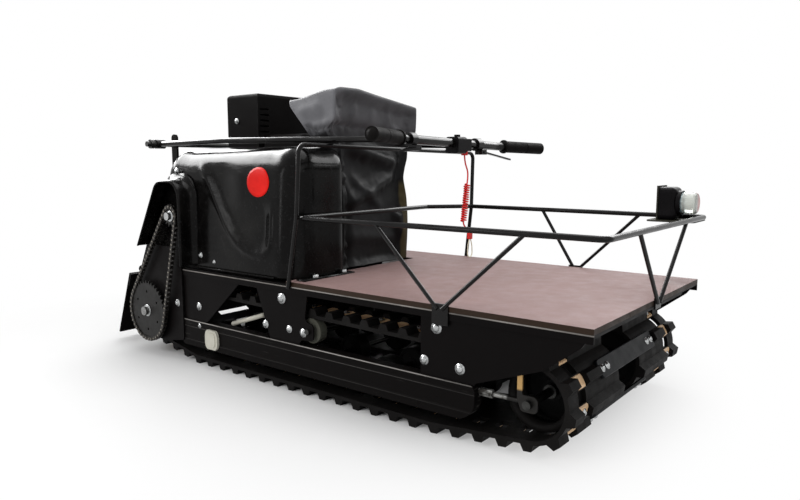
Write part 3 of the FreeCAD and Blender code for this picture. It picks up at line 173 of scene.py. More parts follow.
def zinc(name, colour, roughness):
    """Plated steel with darker clouds and a fine crystal grain."""
    metal = Finish(name, colour, roughness, Metallic=1.0)
    dark = tuple(value * 0.55 for value in colour)
    metal.colour(metal.mix(metal.ramp(metal.noise(120, 4), 0.35, 0.7), colour, dark))
    metal.rough(metal.noise(300, 3), 0.3, 0.7, roughness - 0.08, roughness + 0.15)
    metal.bump(metal.noise(900, 2), 0.00008, 0.5)
    return metal


def moulded(name, colour, roughness, grain=700, depth=0.00012, shine=0.05):
    """Moulded plastic or rubber with a fine grain."""
    plastic = Finish(name, colour, roughness, Specular_IOR_Level=shine)
    pale = tuple(value * 1.4 + 0.002 for value in colour)
    plastic.colour(plastic.mix(plastic.ramp(plastic.noise(14, 5), 0.45, 0.8), colour, pale))
    plastic.rough(plastic.noise(40, 4), 0.3, 0.7, roughness - 0.08, roughness + 0.1)
    plastic.bump(plastic.noise(grain, 2), depth, 0.6)
    return plastic


COATING = (0.0032, 0.0026, 0.0026)
SIDE_FACE_Y = 0.298
SIDE_TOP_Z, SIDE_CREASE_Z = 0.2462, 0.2275
BEAM_TOP_Z, BEAM_CREASES_Z = 0.1168, (0.066, 0.101)
PIN_HEADS_Y = -0.317
LENS_RIM_X, LENS_BAND_X, LENS_BAND_Y = (0.700, 0.706), (0.726, 0.729), (0.235, 0.25)
EYE_X, TENSIONER_BRACKET_Z = (0.562, 0.566), (0.126, 0.130)


def painted_highlight_lines(paint, *levels):
    """Painted highlights: bright lines along the outer faces of the sides, each given by its
    height, half width and strength."""
    side = paint.ramp(paint.off("Y", 0), SIDE_FACE_Y, SIDE_FACE_Y + 0.0005)
    line = paint.largest(*(paint.ramp(paint.off("Z", level), half, half / 2, 0.0, strength)
                           for level, half, strength in levels))
    patches = paint.noise(9, 4, source=paint.stretched((1, 1, 0.2)))
    return paint.product(line, paint.ramp(patches, 0.35, 0.6, 0.35, 1.0), side)


def side_paint():
    """The sides' paint, with painted highlights along its top edge and the crease below."""
    paint = painted("side_black", COATING, 0.36)
    # painted highlights: pale lines along the top edge and the crease below it
    painted_highlights = painted_highlight_lines(paint, (SIDE_TOP_Z, 0.0016, 1.0), (SIDE_CREASE_Z, 0.0010, 0.25))
    paint.colour(paint.mix(painted_highlights, (0.0034, 0.0028, 0.0028), (0.22, 0.205, 0.19)))
    return paint


def beam_paint():
    """The pressed beam's paint, with two long creases, painted highlights along its top edge and
    next to the creases, and scuffs that run along it.
    """
    paint = painted("beam_black", (0.004, 0.0035, 0.0034), 0.33, shine=0.025)
    low, high = BEAM_CREASES_Z
    # painted highlights: pale lines along the top edge and next to each crease
    painted_highlights = painted_highlight_lines(paint, (BEAM_TOP_Z, 0.0013, 1.0), (low - 0.0005, 0.0007, 0.10),
                       (high - 0.0005, 0.0007, 0.22))
    scratches = paint.ramp(paint.noise(30, 2, source=paint.stretched((0.22, 1, 10))),
                           0.68, 0.74, 0.0, 0.22)
    paint.colour(paint.mix(paint.largest(painted_highlights, scratches), (0.0042, 0.0036, 0.0035),
                           (0.30, 0.285, 0.27)))
    creases = paint.largest(*(paint.ramp(paint.off("Z", level), 0.003, 0.0)
                              for level in BEAM_CREASES_Z))
    paint.bump(creases, 0.0015, 0.8)
    paint.bump(paint.noise(30, 3, source=paint.stretched((0.25, 1, 3))), 0.0008, 0.35)
    return paint


def chain_finish():
    """Oiled dark links whose pin heads, on the outer faces, are bright."""
    metal = Finish("chain_steel", (0.03, 0.027, 0.025), 0.42, Metallic=0.8)
    pins = metal.ramp(metal.off("Y", PIN_HEADS_Y), 0.0053, 0.0057)
    metal.colour(metal.mix(pins, (0.030, 0.027, 0.024), (0.24, 0.22, 0.185)))
    return metal


def lens_glass():
    """Clear lens with a bluish rear rim and a red band near its front edge."""
    glass = Finish("lamp_lens", (0.8, 0.82, 0.8), 0.08, Transmission_Weight=0.55, IOR=1.45)
    body = glass.mix(glass.zone("X", *LENS_RIM_X), (0.22, 0.45, 0.55), (0.62, 0.65, 0.60))
    red = glass.product(glass.zone("X", *LENS_BAND_X), glass.zone("Y", *LENS_BAND_Y))
    glass.colour(glass.mix(red, body, (0.85, 0.30, 0.28)))
    glass.bump(glass.waves(190, "Y"), 0.0004, 0.4)
    return glass


def tensioner_steel():
    """Dull plated bolt and nut, a brass-coloured bracket above them, a dark eye in front."""
    steel = Finish("tensioner_steel", (0.2, 0.2, 0.19), 0.42, Metallic=0.7)
    grime = steel.ramp(steel.noise(60, 4), 0.42, 0.6)
    plain = steel.mix(grime, (0.24, 0.24, 0.23), (0.02, 0.018, 0.015))
    dark = steel.mix(steel.zone("X", *EYE_X), plain, (0.012, 0.011, 0.010))
    steel.colour(steel.mix(steel.zone("Z", *TENSIONER_BRACKET_Z), dark, (0.42, 0.26, 0.10)))
    return steel


def plywood():
    """Film-faced plywood: a pinkish-brown film with a fine pressed mesh, faint sheet marks and
    small stains; the cut edges show brown layers."""
    board = Finish("deck_plywood", (0.34, 0.22, 0.205), 0.55, Specular_IOR_Level=0.1)
    blotch = board.ramp(board.noise(5, 6, 0.6), 0.3, 0.72)
    film = board.mix(blotch, (0.300, 0.200, 0.192), (0.245, 0.160, 0.152))
    speck = board.ramp(board.noise(170, 2, 0.6), 0.62, 0.72)
    film = board.mix(board.product(speck, 0.35), film, (0.16, 0.09, 0.085))
    # layers show where the surface stands upright
    normal = board.add("NewGeometry").outputs["Normal"]
    level = board.math("ABSOLUTE", board.add("SeparateXYZ", {"Vector": normal}).outputs["Z"])
    layer = board.waves(180, "Z", distortion=1.2, detail=2)
    edge = board.mix(layer, (0.010, 0.006, 0.0045), (0.034, 0.020, 0.012))
    board.colour(board.mix(board.ramp(level, 0.7, 0.3), film, edge))
    board.rough(board.noise(30, 4), 0.3, 0.7, 0.42, 0.62)
    board.bump(board.largest(board.waves(165, "X"), board.waves(165, "Y")), 0.00025, 0.5)
    board.bump(board.noise(8, 3), 0.002, 0.3)
    return board


def hood_gloss():
    """Vacuum-formed sheet: deep black gloss over a pebbled sheet, dulled by dust low down."""
    gloss = Finish("hood_gloss", (0.004, 0.004, 0.004), 0.2, Specular_IOR_Level=0.085)
    dust = gloss.ramp(gloss.noise(7, 6, 0.62, distortion=0.4), 0.42, 0.75)
    dust = gloss.product(dust, gloss.math("ADD", gloss.zone("Z", 0.47, 0.36, 0.6), 0.4))
    specks = gloss.product(gloss.ramp(gloss.noise(150, 3), 0.60, 0.70), 0.13)
    dull = gloss.mix(dust, (0.0016, 0.0014, 0.0014), (0.009, 0.0085, 0.008))
    gloss.colour(gloss.mix(specks, dull, (0.05, 0.05, 0.052)))
    hazy = gloss.noise(30, 6, 0.7, source=gloss.stretched((0.5, 1, 2)), distortion=0.3)
    gloss.rough(hazy, 0.40, 0.70, 0.12, 0.27)
    gloss.bump(gloss.noise(520, 2), 0.00015, 0.3)
    gloss.bump(gloss.noise(22, 2), 0.0012, 0.22)
    return gloss


def vinyl():
    """Coated cloth by zones: dark below; painted shade at mid height; the cap faded and dusty
    and lighter with painted light, and palest with painted light on its right wing; painted
    shadow where it tucks behind the hood; with a brown binding along the left lower edge and a
    weave under the coat."""
    cloth = Finish("cover_vinyl", (0.01, 0.01, 0.011), 0.45, Specular_IOR_Level=0.10)
    dust = cloth.ramp(cloth.noise(6, 6, 0.6, distortion=0.5), 0.4, 0.75)
    below = cloth.mix(dust, (0.0055, 0.0055, 0.006), (0.024, 0.024, 0.025))
    # the cap: faded and dusty, and lighter with painted light
    cap = cloth.mix(dust, (0.056, 0.056, 0.060), (0.122, 0.122, 0.131))
    # painted light: the right wing palest, as lit from the side
    wing = cloth.mix(dust, (0.10, 0.10, 0.108), (0.18, 0.18, 0.19))
    cap = cloth.mix(cloth.zone("Y", -0.110, -0.135), cap, wing)
    shade = cloth.mix(cloth.zone("Z", 0.565, 0.615), below, cap)
    # painted shade: a darker band at mid height
    middle = cloth.product(cloth.zone("Z", 0.38, 0.43, 0.7), cloth.zone("Z", 0.60, 0.57))
    shade = cloth.mix(middle, shade, (0.0045, 0.0045, 0.005))
    # painted shadow where the cloth tucks behind the hood
    tucked = cloth.product(cloth.zone("Y", -0.058, -0.068), cloth.zone("Z", 0.44, 0.40))
    shade = cloth.mix(tucked, shade, (0.0025, 0.0025, 0.0025))
    binding = cloth.product(cloth.zone("X", -0.020, -0.016), cloth.zone("Y", 0.128, 0.132),
                            cloth.zone("Z", 0.475, 0.460))
    cloth.colour(cloth.mix(binding, shade, (0.060, 0.048, 0.022)))
    cloth.rough(cloth.noise(18, 4), 0.3, 0.7, 0.38, 0.55)
    cloth.bump(cloth.largest(cloth.waves(310, "Y"), cloth.waves(310, "Z")), 0.0002, 0.35)
    cloth.bump(cloth.noise(35, 4), 0.0010, 0.3)
    return cloth


FRAME_BLACK = painted("frame_black", COATING, 0.36)
SIDES = side_paint()
ROD_BLACK = painted("rod_black", (0.003, 0.0026, 0.0026), 0.17, 0.16, 0.00002)
BEAM = beam_paint()
ZINC = zinc("zinc_steel", (0.46, 0.47, 0.47), 0.26)
DULL_ZINC = zinc("dull_zinc", (0.055, 0.055, 0.053), 0.42)
SHAFT = zinc("shaft_zinc", (0.27, 0.27, 0.265), 0.36)
TENSIONER = tensioner_steel()
CHAIN = chain_finish()
SPROCKET = moulded("sprocket_black", (0.008, 0.0075, 0.007), 0.45, 300, 0.0001, 0.15)
RUBBER = moulded("track_rubber", (0.0055, 0.005, 0.0048), 0.55, 500, 0.0003)
PLATE_GREY = moulded("cross_plate_grey", (0.0078, 0.0084, 0.0096), 0.38, shine=0.065)
ROLLER = moulded("roller_black", (0.005, 0.005, 0.005), 0.42)
RIM = moulded("roller_rim", (0.055, 0.055, 0.045), 0.45)
CLIP = moulded("belt_clip", (0.70, 0.47, 0.27), 0.42, shine=0.3)
GRIP = moulded("grip_rubber", (0.0055, 0.005, 0.0048), 0.55, 900, 0.0004, 0.025)
LAMP = moulded("lamp_black", (0.004, 0.0035, 0.004), 0.35)
ENGINE = painted("engine_black", (0.0035, 0.003, 0.003), 0.5, shine=0.012)
BRACKET = painted("bracket_olive", (0.03, 0.029, 0.022), 0.5)
FLAP = moulded("flap_rubber", (0.0035, 0.003, 0.003), 0.65, 300, 0.0004, 0.006)
RED = moulded("lanyard_red", (0.62, 0.02, 0.02), 0.32, shine=0.2)
BADGE = moulded("badge_red", (0.50, 0.010, 0.007), 0.45)
CLAMP = moulded("clamp_pale", (0.36, 0.35, 0.30), 0.4, shine=0.2)
STRAP = moulded("strap_pale", (0.60, 0.56, 0.42), 0.8)
GLASS = lens_glass()
PLYWOOD = plywood()
HOOD = hood_gloss()
VINYL = vinyl()

FINISHED_IN = (
    (PLYWOOD, "deck_board"),
    (SIDES, "deck_frame side_gussets_right side_gussets_left"),
    (BEAM, "lower_beam_right lower_beam_left"),
    (FRAME_BLACK, "floor_plate bearing_plate_right bearing_plate_left drive_bearings "
                  "tiller_posts flap_carrier flap_arms tow_hitch"),
    (ROD_BLACK, "basket_rail basket_struts tiller_rest_hoop tiller_arms handlebar "
                "brake_lever throttle_lever"),
    (RUBBER, "track_belts"),
    (PLATE_GREY, "track_cross_plates"),
    (SHAFT, "drive_shaft"),
    (DULL_ZINC, "wheel_axles tiller_pivot_rod"),
    (ZINC, "jackshaft"),
    (ROLLER, "drive_sprockets idler_wheels road_rollers"),
    (RIM, "return_rollers"),
    (TENSIONER, "track_tensioners"),
    (SPROCKET, "chain_sprocket_large chain_sprocket_small"),
    (CHAIN, "drive_chain"),
    (HOOD, "hood"),
    (ENGINE, "engine_block recoil_starter fuel_tank muffler_guard"),
    (VINYL, "engine_cover"),
    (BRACKET, "headlight_bracket"),
    (LAMP, "headlight_housing switch_block"),
    (GLASS, "headlight_lens"),
    (FLAP, "mud_flap rear_buffers"),
    (GRIP, "grip_right grip_left"),
    (RED, "lanyard_cap lanyard_clip lanyard_cord lanyard_coil"),
    (STRAP, "lanyard_strap"),
)
for finish, names in FINISHED_IN:
    for name in names.split():
        slots = NODES[name].data.materials
        slots.clear()
        slots.append(finish.material)


# ---------------------------------------------------------------- ways to make a piece

# points nearer to each other than this are welded into one
WELD_GAP = 2e-5


def linked(name, data):
    """A new object in the scene."""
    item = bpy.data.objects.new(name, data)
    bpy.context.scene.collection.objects.link(item)
    return item


def new_mesh(name, shape):
    """A mesh of a shape, which is its points and faces."""
    points, faces = shape
    mesh = bpy.data.meshes.new(name)
    mesh.from_pydata(np.asarray(points, float).reshape(-1, 3).tolist(), [],
                     [tuple(int(i) for i in face) for face in faces])
    return mesh


def add_piece(name, shape, finish, smooth=True, weld=False):
    """A mesh object at the origin that rides on the chassis; weld joins doubled points."""
    mesh = new_mesh(name, shape)
    if weld:
        work = bmesh.new()
        work.from_mesh(mesh)
        bmesh.ops.remove_doubles(work, verts=work.verts, dist=WELD_GAP)
        bmesh.ops.recalc_face_normals(work, faces=work.faces)
        work.to_mesh(mesh)
        work.free()
    mesh.validate()
    mesh.update()
    piece = linked(name, mesh)
    mesh.materials.append(finish.material)
    if smooth:
        mesh.shade_smooth()
    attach(piece, "chassis")
    return piece


def joined(parts):
    """Several (points, faces) as one."""
    points, faces, start = [], [], 0
    for more, polygons in parts:
        more = np.asarray(more, float).reshape(-1, 3)
        points.append(more)
        faces += [[int(i) + start for i in polygon] for polygon in polygons]
        start += len(more)
    return np.concatenate(points), faces


def box(low, high):
    """The eight corners and six outward faces of a box."""
    x, y, z = np.meshgrid(*zip(low, high), indexing="ij")
    corners = np.stack([x, y, z], axis=-1).reshape(-1, 3)
    return corners, [(0, 1, 3, 2), (4, 6, 7, 5), (0, 4, 5, 1), (2, 3, 7, 6), (0, 2, 6, 4),
                     (1, 5, 7, 3)]


def prism(outline, low, high):
    """A flat (x, z) outline carried from y = low to y = high. Its faces point outwards where
    the outline runs clockwise seen from the right, and welding turns them if it doesn't."""
    outline = np.asarray(outline, float)
    count = len(outline)
    ends = [np.insert(outline, 1, y, axis=1) for y in (low, high)]
    around = [(i, (i + 1) % count, count + (i + 1) % count, count + i) for i in range(count)]
    caps = [list(range(count))[::-1], list(range(count, 2 * count))]
    return np.concatenate(ends), around + caps


def turned(profile, segments):
    """A profile of (radius, height) points turned about +Z: each point goes round as radius
    times cosine and sine of the angle."""
    angle = np.arange(segments) * 2 * math.pi / segments
    radius, height = np.asarray(profile, float).T
    points = np.stack([radius[:, None] * np.cos(angle), radius[:, None] * np.sin(angle),
                       height[:, None] + 0 * angle], axis=-1)
    return points.reshape(-1, 3), grid_faces(len(profile), segments, wrap_columns=True)


def stood(shape, places, outward, along):
    """The shape, drawn about +Z, at each place with its +Z turned to that place's outward
    direction and its +X to the along direction."""
    points, faces = shape
    places, outward, along = (np.atleast_2d(np.asarray(value, float))
                              for value in (places, outward, along))
    outward = np.broadcast_to(outward, places.shape)
    along = np.broadcast_to(along, places.shape)
    across = np.cross(outward, along)
    frames = np.stack([along, across, outward], axis=1)
    moved = np.einsum("vk,nkd->nvd", points, frames) + places[:, None]
    faces = np.asarray(faces)
    steps = np.arange(len(places)) * len(points)
    return moved.reshape(-1, 3), (faces[None] + steps[:, None, None]).reshape(-1, faces.shape[1])


def grid_faces(rows, columns, wrap_columns=False):
    """Quads of a rows x columns grid of points, in row-major order."""
    i = np.arange(rows - 1)
    j = np.arange(columns if wrap_columns else columns - 1)
    i, j = np.meshgrid(i, j, indexing="ij")
    beside = (j + 1) % columns
    return np.stack([i * columns + j, (i + 1) * columns + j, (i + 1) * columns + beside,
                     i * columns + beside], axis=-1).reshape(-1, 4)


def smoothstep(value, low, high):
    """0 below low, 1 above high and a smooth S between them."""
    share = np.clip((value - low) / (high - low), 0, 1)
    return share * share * (3 - 2 * share)


def eased(count, width):
    """Over count steps, 0 at both ends and 1 further than width from them."""
    steps = np.arange(count)
    return smoothstep(np.minimum(steps, steps[::-1]), 0, width)


def arc_lengths(line):
    """Length along a line up to each of its points."""
    steps = np.linalg.norm(np.diff(line, axis=0), axis=1)
    return np.concatenate([[0], np.cumsum(steps)])


def read_at(values, at, where):
    """Rows of values, known at the lengths at, read at the lengths where."""
    return np.stack([np.interp(where, at, column) for column in values.T], axis=1)


def resampled(line, count):
    """The line again with evenly spaced points."""
    at = arc_lengths(line)
    return read_at(line, at, np.linspace(0, at[-1], count))


# ---------------------------------------------------------------- lanyard


def spline_piece(name, route, radius, finish, points_between=12):
    """A round cord on the tiller, whose centre line is the NURBS spline of the route."""
    curve = bpy.data.curves.new(name, "CURVE")
    curve.dimensions = "3D"
    spline = curve.splines.new("NURBS")
    spline.points.add(len(route) - 1)
    for point, place in zip(spline.points, route):
        point.co = (*place, 1)
    spline.order_u = 3
    spline.use_endpoint_u = True
    spline.resolution_u = points_between
    curve.bevel_depth = radius
    curve.bevel_resolution = 4
    curve.use_fill_caps = True
    piece = linked(name, curve)
    curve.materials.append(finish.material)
    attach(piece, "tiller")
    return piece


def spline_line(piece):
    """Points along a curve's own line, without its thickness."""
    bare = piece.data.copy()
    bare.bevel_depth = 0
    carrier = linked("line_reader", bare)
    bpy.context.view_layer.update()
    mesh = bpy.data.meshes.new_from_object(carrier)
    places = np.array([vertex.co for vertex in mesh.vertices])
    bpy.data.objects.remove(carrier)
    bpy.data.curves.remove(bare)
    bpy.data.meshes.remove(mesh)
    return places


BAR_X = 0.257
CORD_RADIUS, STRAP_RADIUS = 0.0018, 0.0012
COIL_RADIUS, COIL_TURNS, POINTS_A_TURN = 0.008, 17, 12
# points over which the coil grows from its ends, and how much and how slowly its turns vary
COIL_ENDS, COIL_SWAY, SWAY_PACE = 8, 0.05, 5.3
LEAD = [(BAR_X, 0.047, 0.538), (BAR_X, 0.049, 0.520), (BAR_X, 0.062, 0.503),
        (BAR_X, 0.063, 0.487), (BAR_X, 0.060, 0.472)]
COIL = [(BAR_X, 0.060, 0.472), (BAR_X, 0.0545, 0.426), (BAR_X, 0.045, 0.380)]
TAIL = [(BAR_X, 0.045, 0.380), (BAR_X, 0.049, 0.371), (BAR_X, 0.060, 0.365),
        (BAR_X, 0.070, 0.361), (BAR_X, 0.074, 0.353)]
STRAP_ROUTE = [(BAR_X, 0.073, 0.338), (BAR_X, 0.068, 0.326), (BAR_X, 0.066, 0.312),
               (BAR_X, 0.066, 0.29886), (BAR_X, 0.07186, 0.293), (BAR_X, 0.08014, 0.293),
               (BAR_X, 0.086, 0.29886), (BAR_X, 0.086, 0.311), (BAR_X, 0.084, 0.325),
               (BAR_X, 0.078, 0.337)]


def coil_helix():
    """Turns round the coil's line: cosine of the turned angle to the side and sine across,
    times a reach that grows from nothing at both ends and varies a little between turns."""
    middle = spline_piece("coil_line", COIL, 0, RED)
    axis = resampled(spline_line(middle), COIL_TURNS * POINTS_A_TURN + 1)
    bpy.data.objects.remove(middle)
    heading = np.gradient(axis, axis=0)
    heading /= np.linalg.norm(heading, axis=1)[:, None]
    across = np.cross(heading, FORWARD)
    turn = np.linspace(0, 2 * math.pi * COIL_TURNS, len(axis))[:, None]
    reach = (COIL_RADIUS - CORD_RADIUS) * eased(len(axis), COIL_ENDS)[:, None]
    reach = reach * (1 + COIL_SWAY * np.sin(turn / SWAY_PACE))
    return axis + reach * (np.cos(turn) * np.array(FORWARD) + np.sin(turn) * across)


def lanyard():
    """The lead, the coil's helix and the tail as one cord, and a flat strap loop."""
    whole = LEAD[:-1] + coil_helix().tolist() + TAIL[1:]
    cord = spline_piece("lanyard_curly_cord", whole, CORD_RADIUS, RED, 3)
    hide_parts("lanyard_cord", "lanyard_coil")
    length = arc_lengths(spline_line(cord))[-1]
    strap = spline_piece("lanyard_strap_loop", STRAP_ROUTE, STRAP_RADIUS, STRAP)
    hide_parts("lanyard_strap")


# ---------------------------------------------------------------- hood

HOOD_LOW, HOOD_TOP, HOOD_WALL, FLANGE_TOP = 0.258, 0.5565, 0.003, 0.261
HOOD_X, HOOD_Y = (-0.470, 0.032), (-0.290, -0.112)
CORNER_RADII = (0.045, 0.064, 0.036, 0.024)
INNER_FILLET, SHOULDER, FRONT_FILLET, REAR_FILLET = 0.030, 0.070, 0.056, 0.085
SPINE_INSET, SPINE_SHIFT, CROWN = 0.10, 0.012, 0.003
PLAN_STEP = 0.005
WALL_ROWS, FILLET_ROWS, TOP_ROWS = 54, 15, 9
ARCH_POINTS = 90
# centre (x, z), radius, first and last angle in degrees
ARCH_ARCS = (((-0.413, 0.436), 0.041, 150, 96), ((-0.384, 0.4315), 0.047, 88, 0))
# the sunk panel's outline (x, z): down its rear sweep, round its foot and up its front edge
SWEEP = np.array([(-0.320, 0.540), (-0.303, 0.516), (-0.283, 0.492), (-0.265, 0.467),
                  (-0.244, 0.435), (-0.222, 0.402), (-0.205, 0.376), (-0.186, 0.354),
                  (-0.164, 0.335), (-0.139, 0.322), (-0.110, 0.315), (-0.082, 0.317),
                  (-0.064, 0.330), (-0.058, 0.352), (-0.056, 0.400), (-0.056, 0.540)])


def hood_plan():
    """The hood seen from above, a rectangle with a quarter circle of its own radius at each
    corner, counter-clockwise from its low corner: points every 5 mm and outward normals."""
    (x1, x2), (y1, y2) = HOOD_X, HOOD_Y
    corners = ((x1, y1, 1, 1), (x2, y1, -1, 1), (x2, y2, -1, -1), (x1, y2, 1, -1))
    points, normals = [], []
    for number, ((x, y, sx, sy), radius) in enumerate(zip(corners, CORNER_RADII)):
        angle = math.pi + number * math.pi / 2 + np.linspace(0, math.pi / 2, 17)
        way = np.stack([np.cos(angle), np.sin(angle)], axis=1)
        points.append(np.array([x + sx * radius, y + sy * radius]) + radius * way)
        normals.append(way)
    line = np.concatenate(points + [points[0][:1]])
    way = np.concatenate(normals + [normals[0][:1]])
    at = arc_lengths(line)
    even = np.linspace(0, at[-1], int(at[-1] / PLAN_STEP) + 1)[:-1]
    face = read_at(way, at, even)
    return read_at(line, at, even), face / np.linalg.norm(face, axis=1)[:, None]


def inside_distance(x, z, outline):
    """Signed distance to a closed outline in the XZ plane: the least distance to its edges,
    positive where a level line from the point crosses an odd number of them."""
    place = np.stack([x, z], axis=-1)[..., None, :]
    start, end = outline, np.roll(outline, -1, axis=0)
    run = end - start
    share = np.clip(((place - start) * run).sum(-1) / (run * run).sum(-1), 0, 1)
    gap = np.linalg.norm(place - start - share[..., None] * run, axis=-1).min(-1)
    above = (start[:, 1] > z[..., None]) != (end[:, 1] > z[..., None])
    rise = np.where(run[:, 1] == 0, 1, run[:, 1])
    cross = start[:, 0] + (z[..., None] - start[:, 1]) / rise * run[:, 0]
    inside = ((above & (x[..., None] < cross)).sum(-1) % 2) == 1
    return np.where(inside, gap, -gap)


def side_depth(x, z):
    """How far the hood's right side lies in from its plane.

    The sunk panel is an S curve of the distance inside its sweep, the swelling beside it a
    bell curve 10 mm outside the sweep, and both fade out towards the top and, above mid
    height, towards the front. The draft is an S curve of the height.
    """
    away = inside_distance(x, z, SWEEP)
    fade = 1 - smoothstep(z, 0.485, 0.530)
    fade = fade * (1 - smoothstep(z, 0.385, 0.445) * smoothstep(x, -0.235, -0.150))
    panel = 0.0075 * smoothstep(away, -0.008, 0.022)
    swell = 0.0026 * np.exp(-((away + 0.010) / 0.006) ** 2)
    draft = 0.006 * smoothstep(z, 0.30, 0.53)
    return (panel - swell) * fade + draft


def hood_skin():
    """The outer skin as a grid: up the walls, over a fillet and across to the top's spine.

    At fillet angle a, a point lies r(1 - cos a) in from the wall and r(1 - sin a) below the
    top; r goes from one fillet to another by the square of the normal's share in each
    direction. Across the top the height follows a parabola up to the crown. The right wall
    then goes in by its side depth, times the cube of the normal's share to the right. Also
    returns the inward directions.
    """
    plan, face = hood_plan()
    nx, ny = face.T
    fillet = (INNER_FILLET * np.maximum(ny, 0) ** 2 + SHOULDER * np.maximum(-ny, 0) ** 2
              + FRONT_FILLET * np.maximum(nx, 0) ** 2 + REAR_FILLET * np.maximum(-nx, 0) ** 2)
    spine = np.stack([np.clip(plan[:, 0], HOOD_X[0] + SPINE_INSET, HOOD_X[1] - SPINE_INSET),
                      np.full(len(plan), sum(HOOD_Y) / 2 + SPINE_SHIFT)], axis=1)
    inward = spine - plan
    inward /= np.linalg.norm(inward, axis=1)[:, None]
    rows = []
    for share in np.linspace(0, 1, WALL_ROWS):
        rows.append((plan, HOOD_LOW + share * (HOOD_TOP - fillet - HOOD_LOW)))
    for angle in np.linspace(0, math.pi / 2, FILLET_ROWS)[1:]:
        step = fillet * (1 - math.cos(angle))
        rows.append((plan + inward * step[:, None],
                     HOOD_TOP - fillet * (1 - math.sin(angle))))
    edge = rows[-1][0]
    for share in np.linspace(0, 1, TOP_ROWS)[1:]:
        rows.append((edge + (spine - edge) * share,
                     np.full(len(plan), HOOD_TOP + CROWN * (1 - (1 - share) ** 2))))
    grid = np.array([np.column_stack([place, z]) for place, z in rows])
    depth = np.maximum(-ny, 0) ** 3 * side_depth(grid[..., 0], grid[..., 2])
    grid[..., 1] += depth * smoothstep(-grid[..., 1], 0.20, 0.27)
    return grid, np.column_stack([inward, np.zeros(len(plan))])


def hood_shell():
    """The skin and a copy of it one wall further in, joined along the bottom rim."""
    skin, inward = hood_skin()
    inner = skin + inward * HOOD_WALL
    inner[..., 2] = np.minimum(inner[..., 2], HOOD_TOP - HOOD_WALL)
    rows, columns = skin.shape[:2]
    size = rows * columns
    faces = grid_faces(rows, columns, wrap_columns=True)
    rim = np.arange(columns)
    beside = (rim + 1) % columns
    bottom = np.stack([rim, rim + size, beside + size, beside], axis=1)
    return (np.concatenate([skin.reshape(-1, 3), inner.reshape(-1, 3)]),
            np.concatenate([faces[:, ::-1], faces + size, bottom]))


def arch_section():
    """(offset, y) section of the chain arch: a flared root, a straight wall, a rolled lip."""
    root = [(0.016, -0.2885), (0.0085, -0.2905), (0.0045, -0.2935), (0.0018, -0.298),
            (0.0, -0.304)]
    lip = [(0.0, -0.326), (-0.0006, -0.3305), (-0.0022, -0.3335), (-0.0045, -0.3345),
           (-0.0062, -0.333), (-0.0062, -0.3305), (-0.0045, -0.329)]
    return np.array(root + [(0.0, -0.311), (0.0, -0.319)] + lip
                    + [(-0.0045, -0.310), (-0.0045, -0.289)])


def arch_path():
    """The arch's outer line in the XZ plane, from the rear foot up, round two arcs and down
    to the front foot, and its normals from a softened heading."""
    runs = [np.linspace((-0.537, 0.303), (-0.4475, 0.4583), 16)]
    for centre, radius, first, last in ARCH_ARCS:
        angle = np.radians(np.linspace(first, last, 14))
        runs.append(np.array(centre) + radius * np.stack([np.cos(angle), np.sin(angle)], 1))
    runs.append(np.linspace((-0.337, 0.425), (-0.337, 0.262), 14))
    line = resampled(np.concatenate(runs), ARCH_POINTS)
    heading = np.gradient(line, axis=0)
    for _ in range(3):
        heading[1:-1] = (heading[:-2] + heading[1:-1] + heading[2:]) / 3
    heading /= np.linalg.norm(heading, axis=1)[:, None]
    return line, np.stack([-heading[:, 1], heading[:, 0]], axis=1)


def chain_arch():
    """The section carried along the arch's path, its root flared only past the rear leg, with
    closed ends, and the web behind the chain."""
    line, normal = arch_path()
    section = arch_section()
    flare = smoothstep(line[:, 0], -0.475, -0.43)[:, None]
    offset = np.where(section[:, 0] > 0, section[:, 0] * flare, section[:, 0])
    place = line[:, None] + normal[:, None] * offset[..., None]
    arch = np.stack([place[..., 0], np.broadcast_to(section[:, 1], offset.shape),
                     place[..., 1]], axis=-1)
    count = len(section)
    faces = grid_faces(len(line), count, wrap_columns=True).tolist()
    last = count * (len(line) - 1)
    faces += [list(range(count)), list(range(last, last + count))[::-1]]
    return [(arch, faces), prism(line - normal * 0.003, -0.2925, -0.2905)]


def hood():
    """Shell, chain arch with its web, and bottom flanges as one piece."""
    flanges = [box((-0.470, -0.2975, HOOD_LOW), (-0.034, -0.288, FLANGE_TOP)),
               box((0.026, -0.281, HOOD_LOW), (0.052, -0.115, FLANGE_TOP))]
    whole = joined([hood_shell()] + chain_arch() + flanges)
    piece = add_piece("moulded_hood", whole, HOOD, weld=True)
    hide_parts("hood")


def blank_badge():
    """A plain red oval that follows the hood's side: rings of growing share of an ellipse,
    laid 1.2 mm proud of the fillet's arc plus the side depth."""
    rings, around, proud, thick = 7, 48, 0.0012, 0.0008
    middle_x, middle_z, half_x, half_z = -0.0915, 0.4765, 0.0385, 0.0345
    angle = np.arange(around) * 2 * math.pi / around
    ring = np.linspace(0, 1, rings)[:, None]
    x = middle_x + half_x * ring * np.cos(angle)
    z = middle_z + half_z * ring * np.sin(angle)
    rise = np.arcsin(np.clip((z - (HOOD_TOP - SHOULDER)) / SHOULDER, 0, 1))
    y = HOOD_Y[0] + SHOULDER * (1 - np.cos(rise)) + side_depth(x, z)
    front = np.stack([x, y - proud, z], axis=-1).reshape(-1, 3)
    back = front + np.array([0, thick, 0])
    disc = grid_faces(rings, around, wrap_columns=True)
    size = len(front)
    edge = np.arange(size - around, size)
    beside = np.roll(edge, -1)
    side = np.stack([edge, edge + size, beside + size, beside], axis=1)
    faces = np.concatenate([disc, disc[:, ::-1] + size, side])
    add_piece("blank_badge", (np.concatenate([front, back]), faces), BADGE,
              weld=True)


# ---------------------------------------------------------------- engine cover

COVER_ROWS, COVER_FILLET_ROWS, COVER_TOP_ROWS = 48, 5, 10
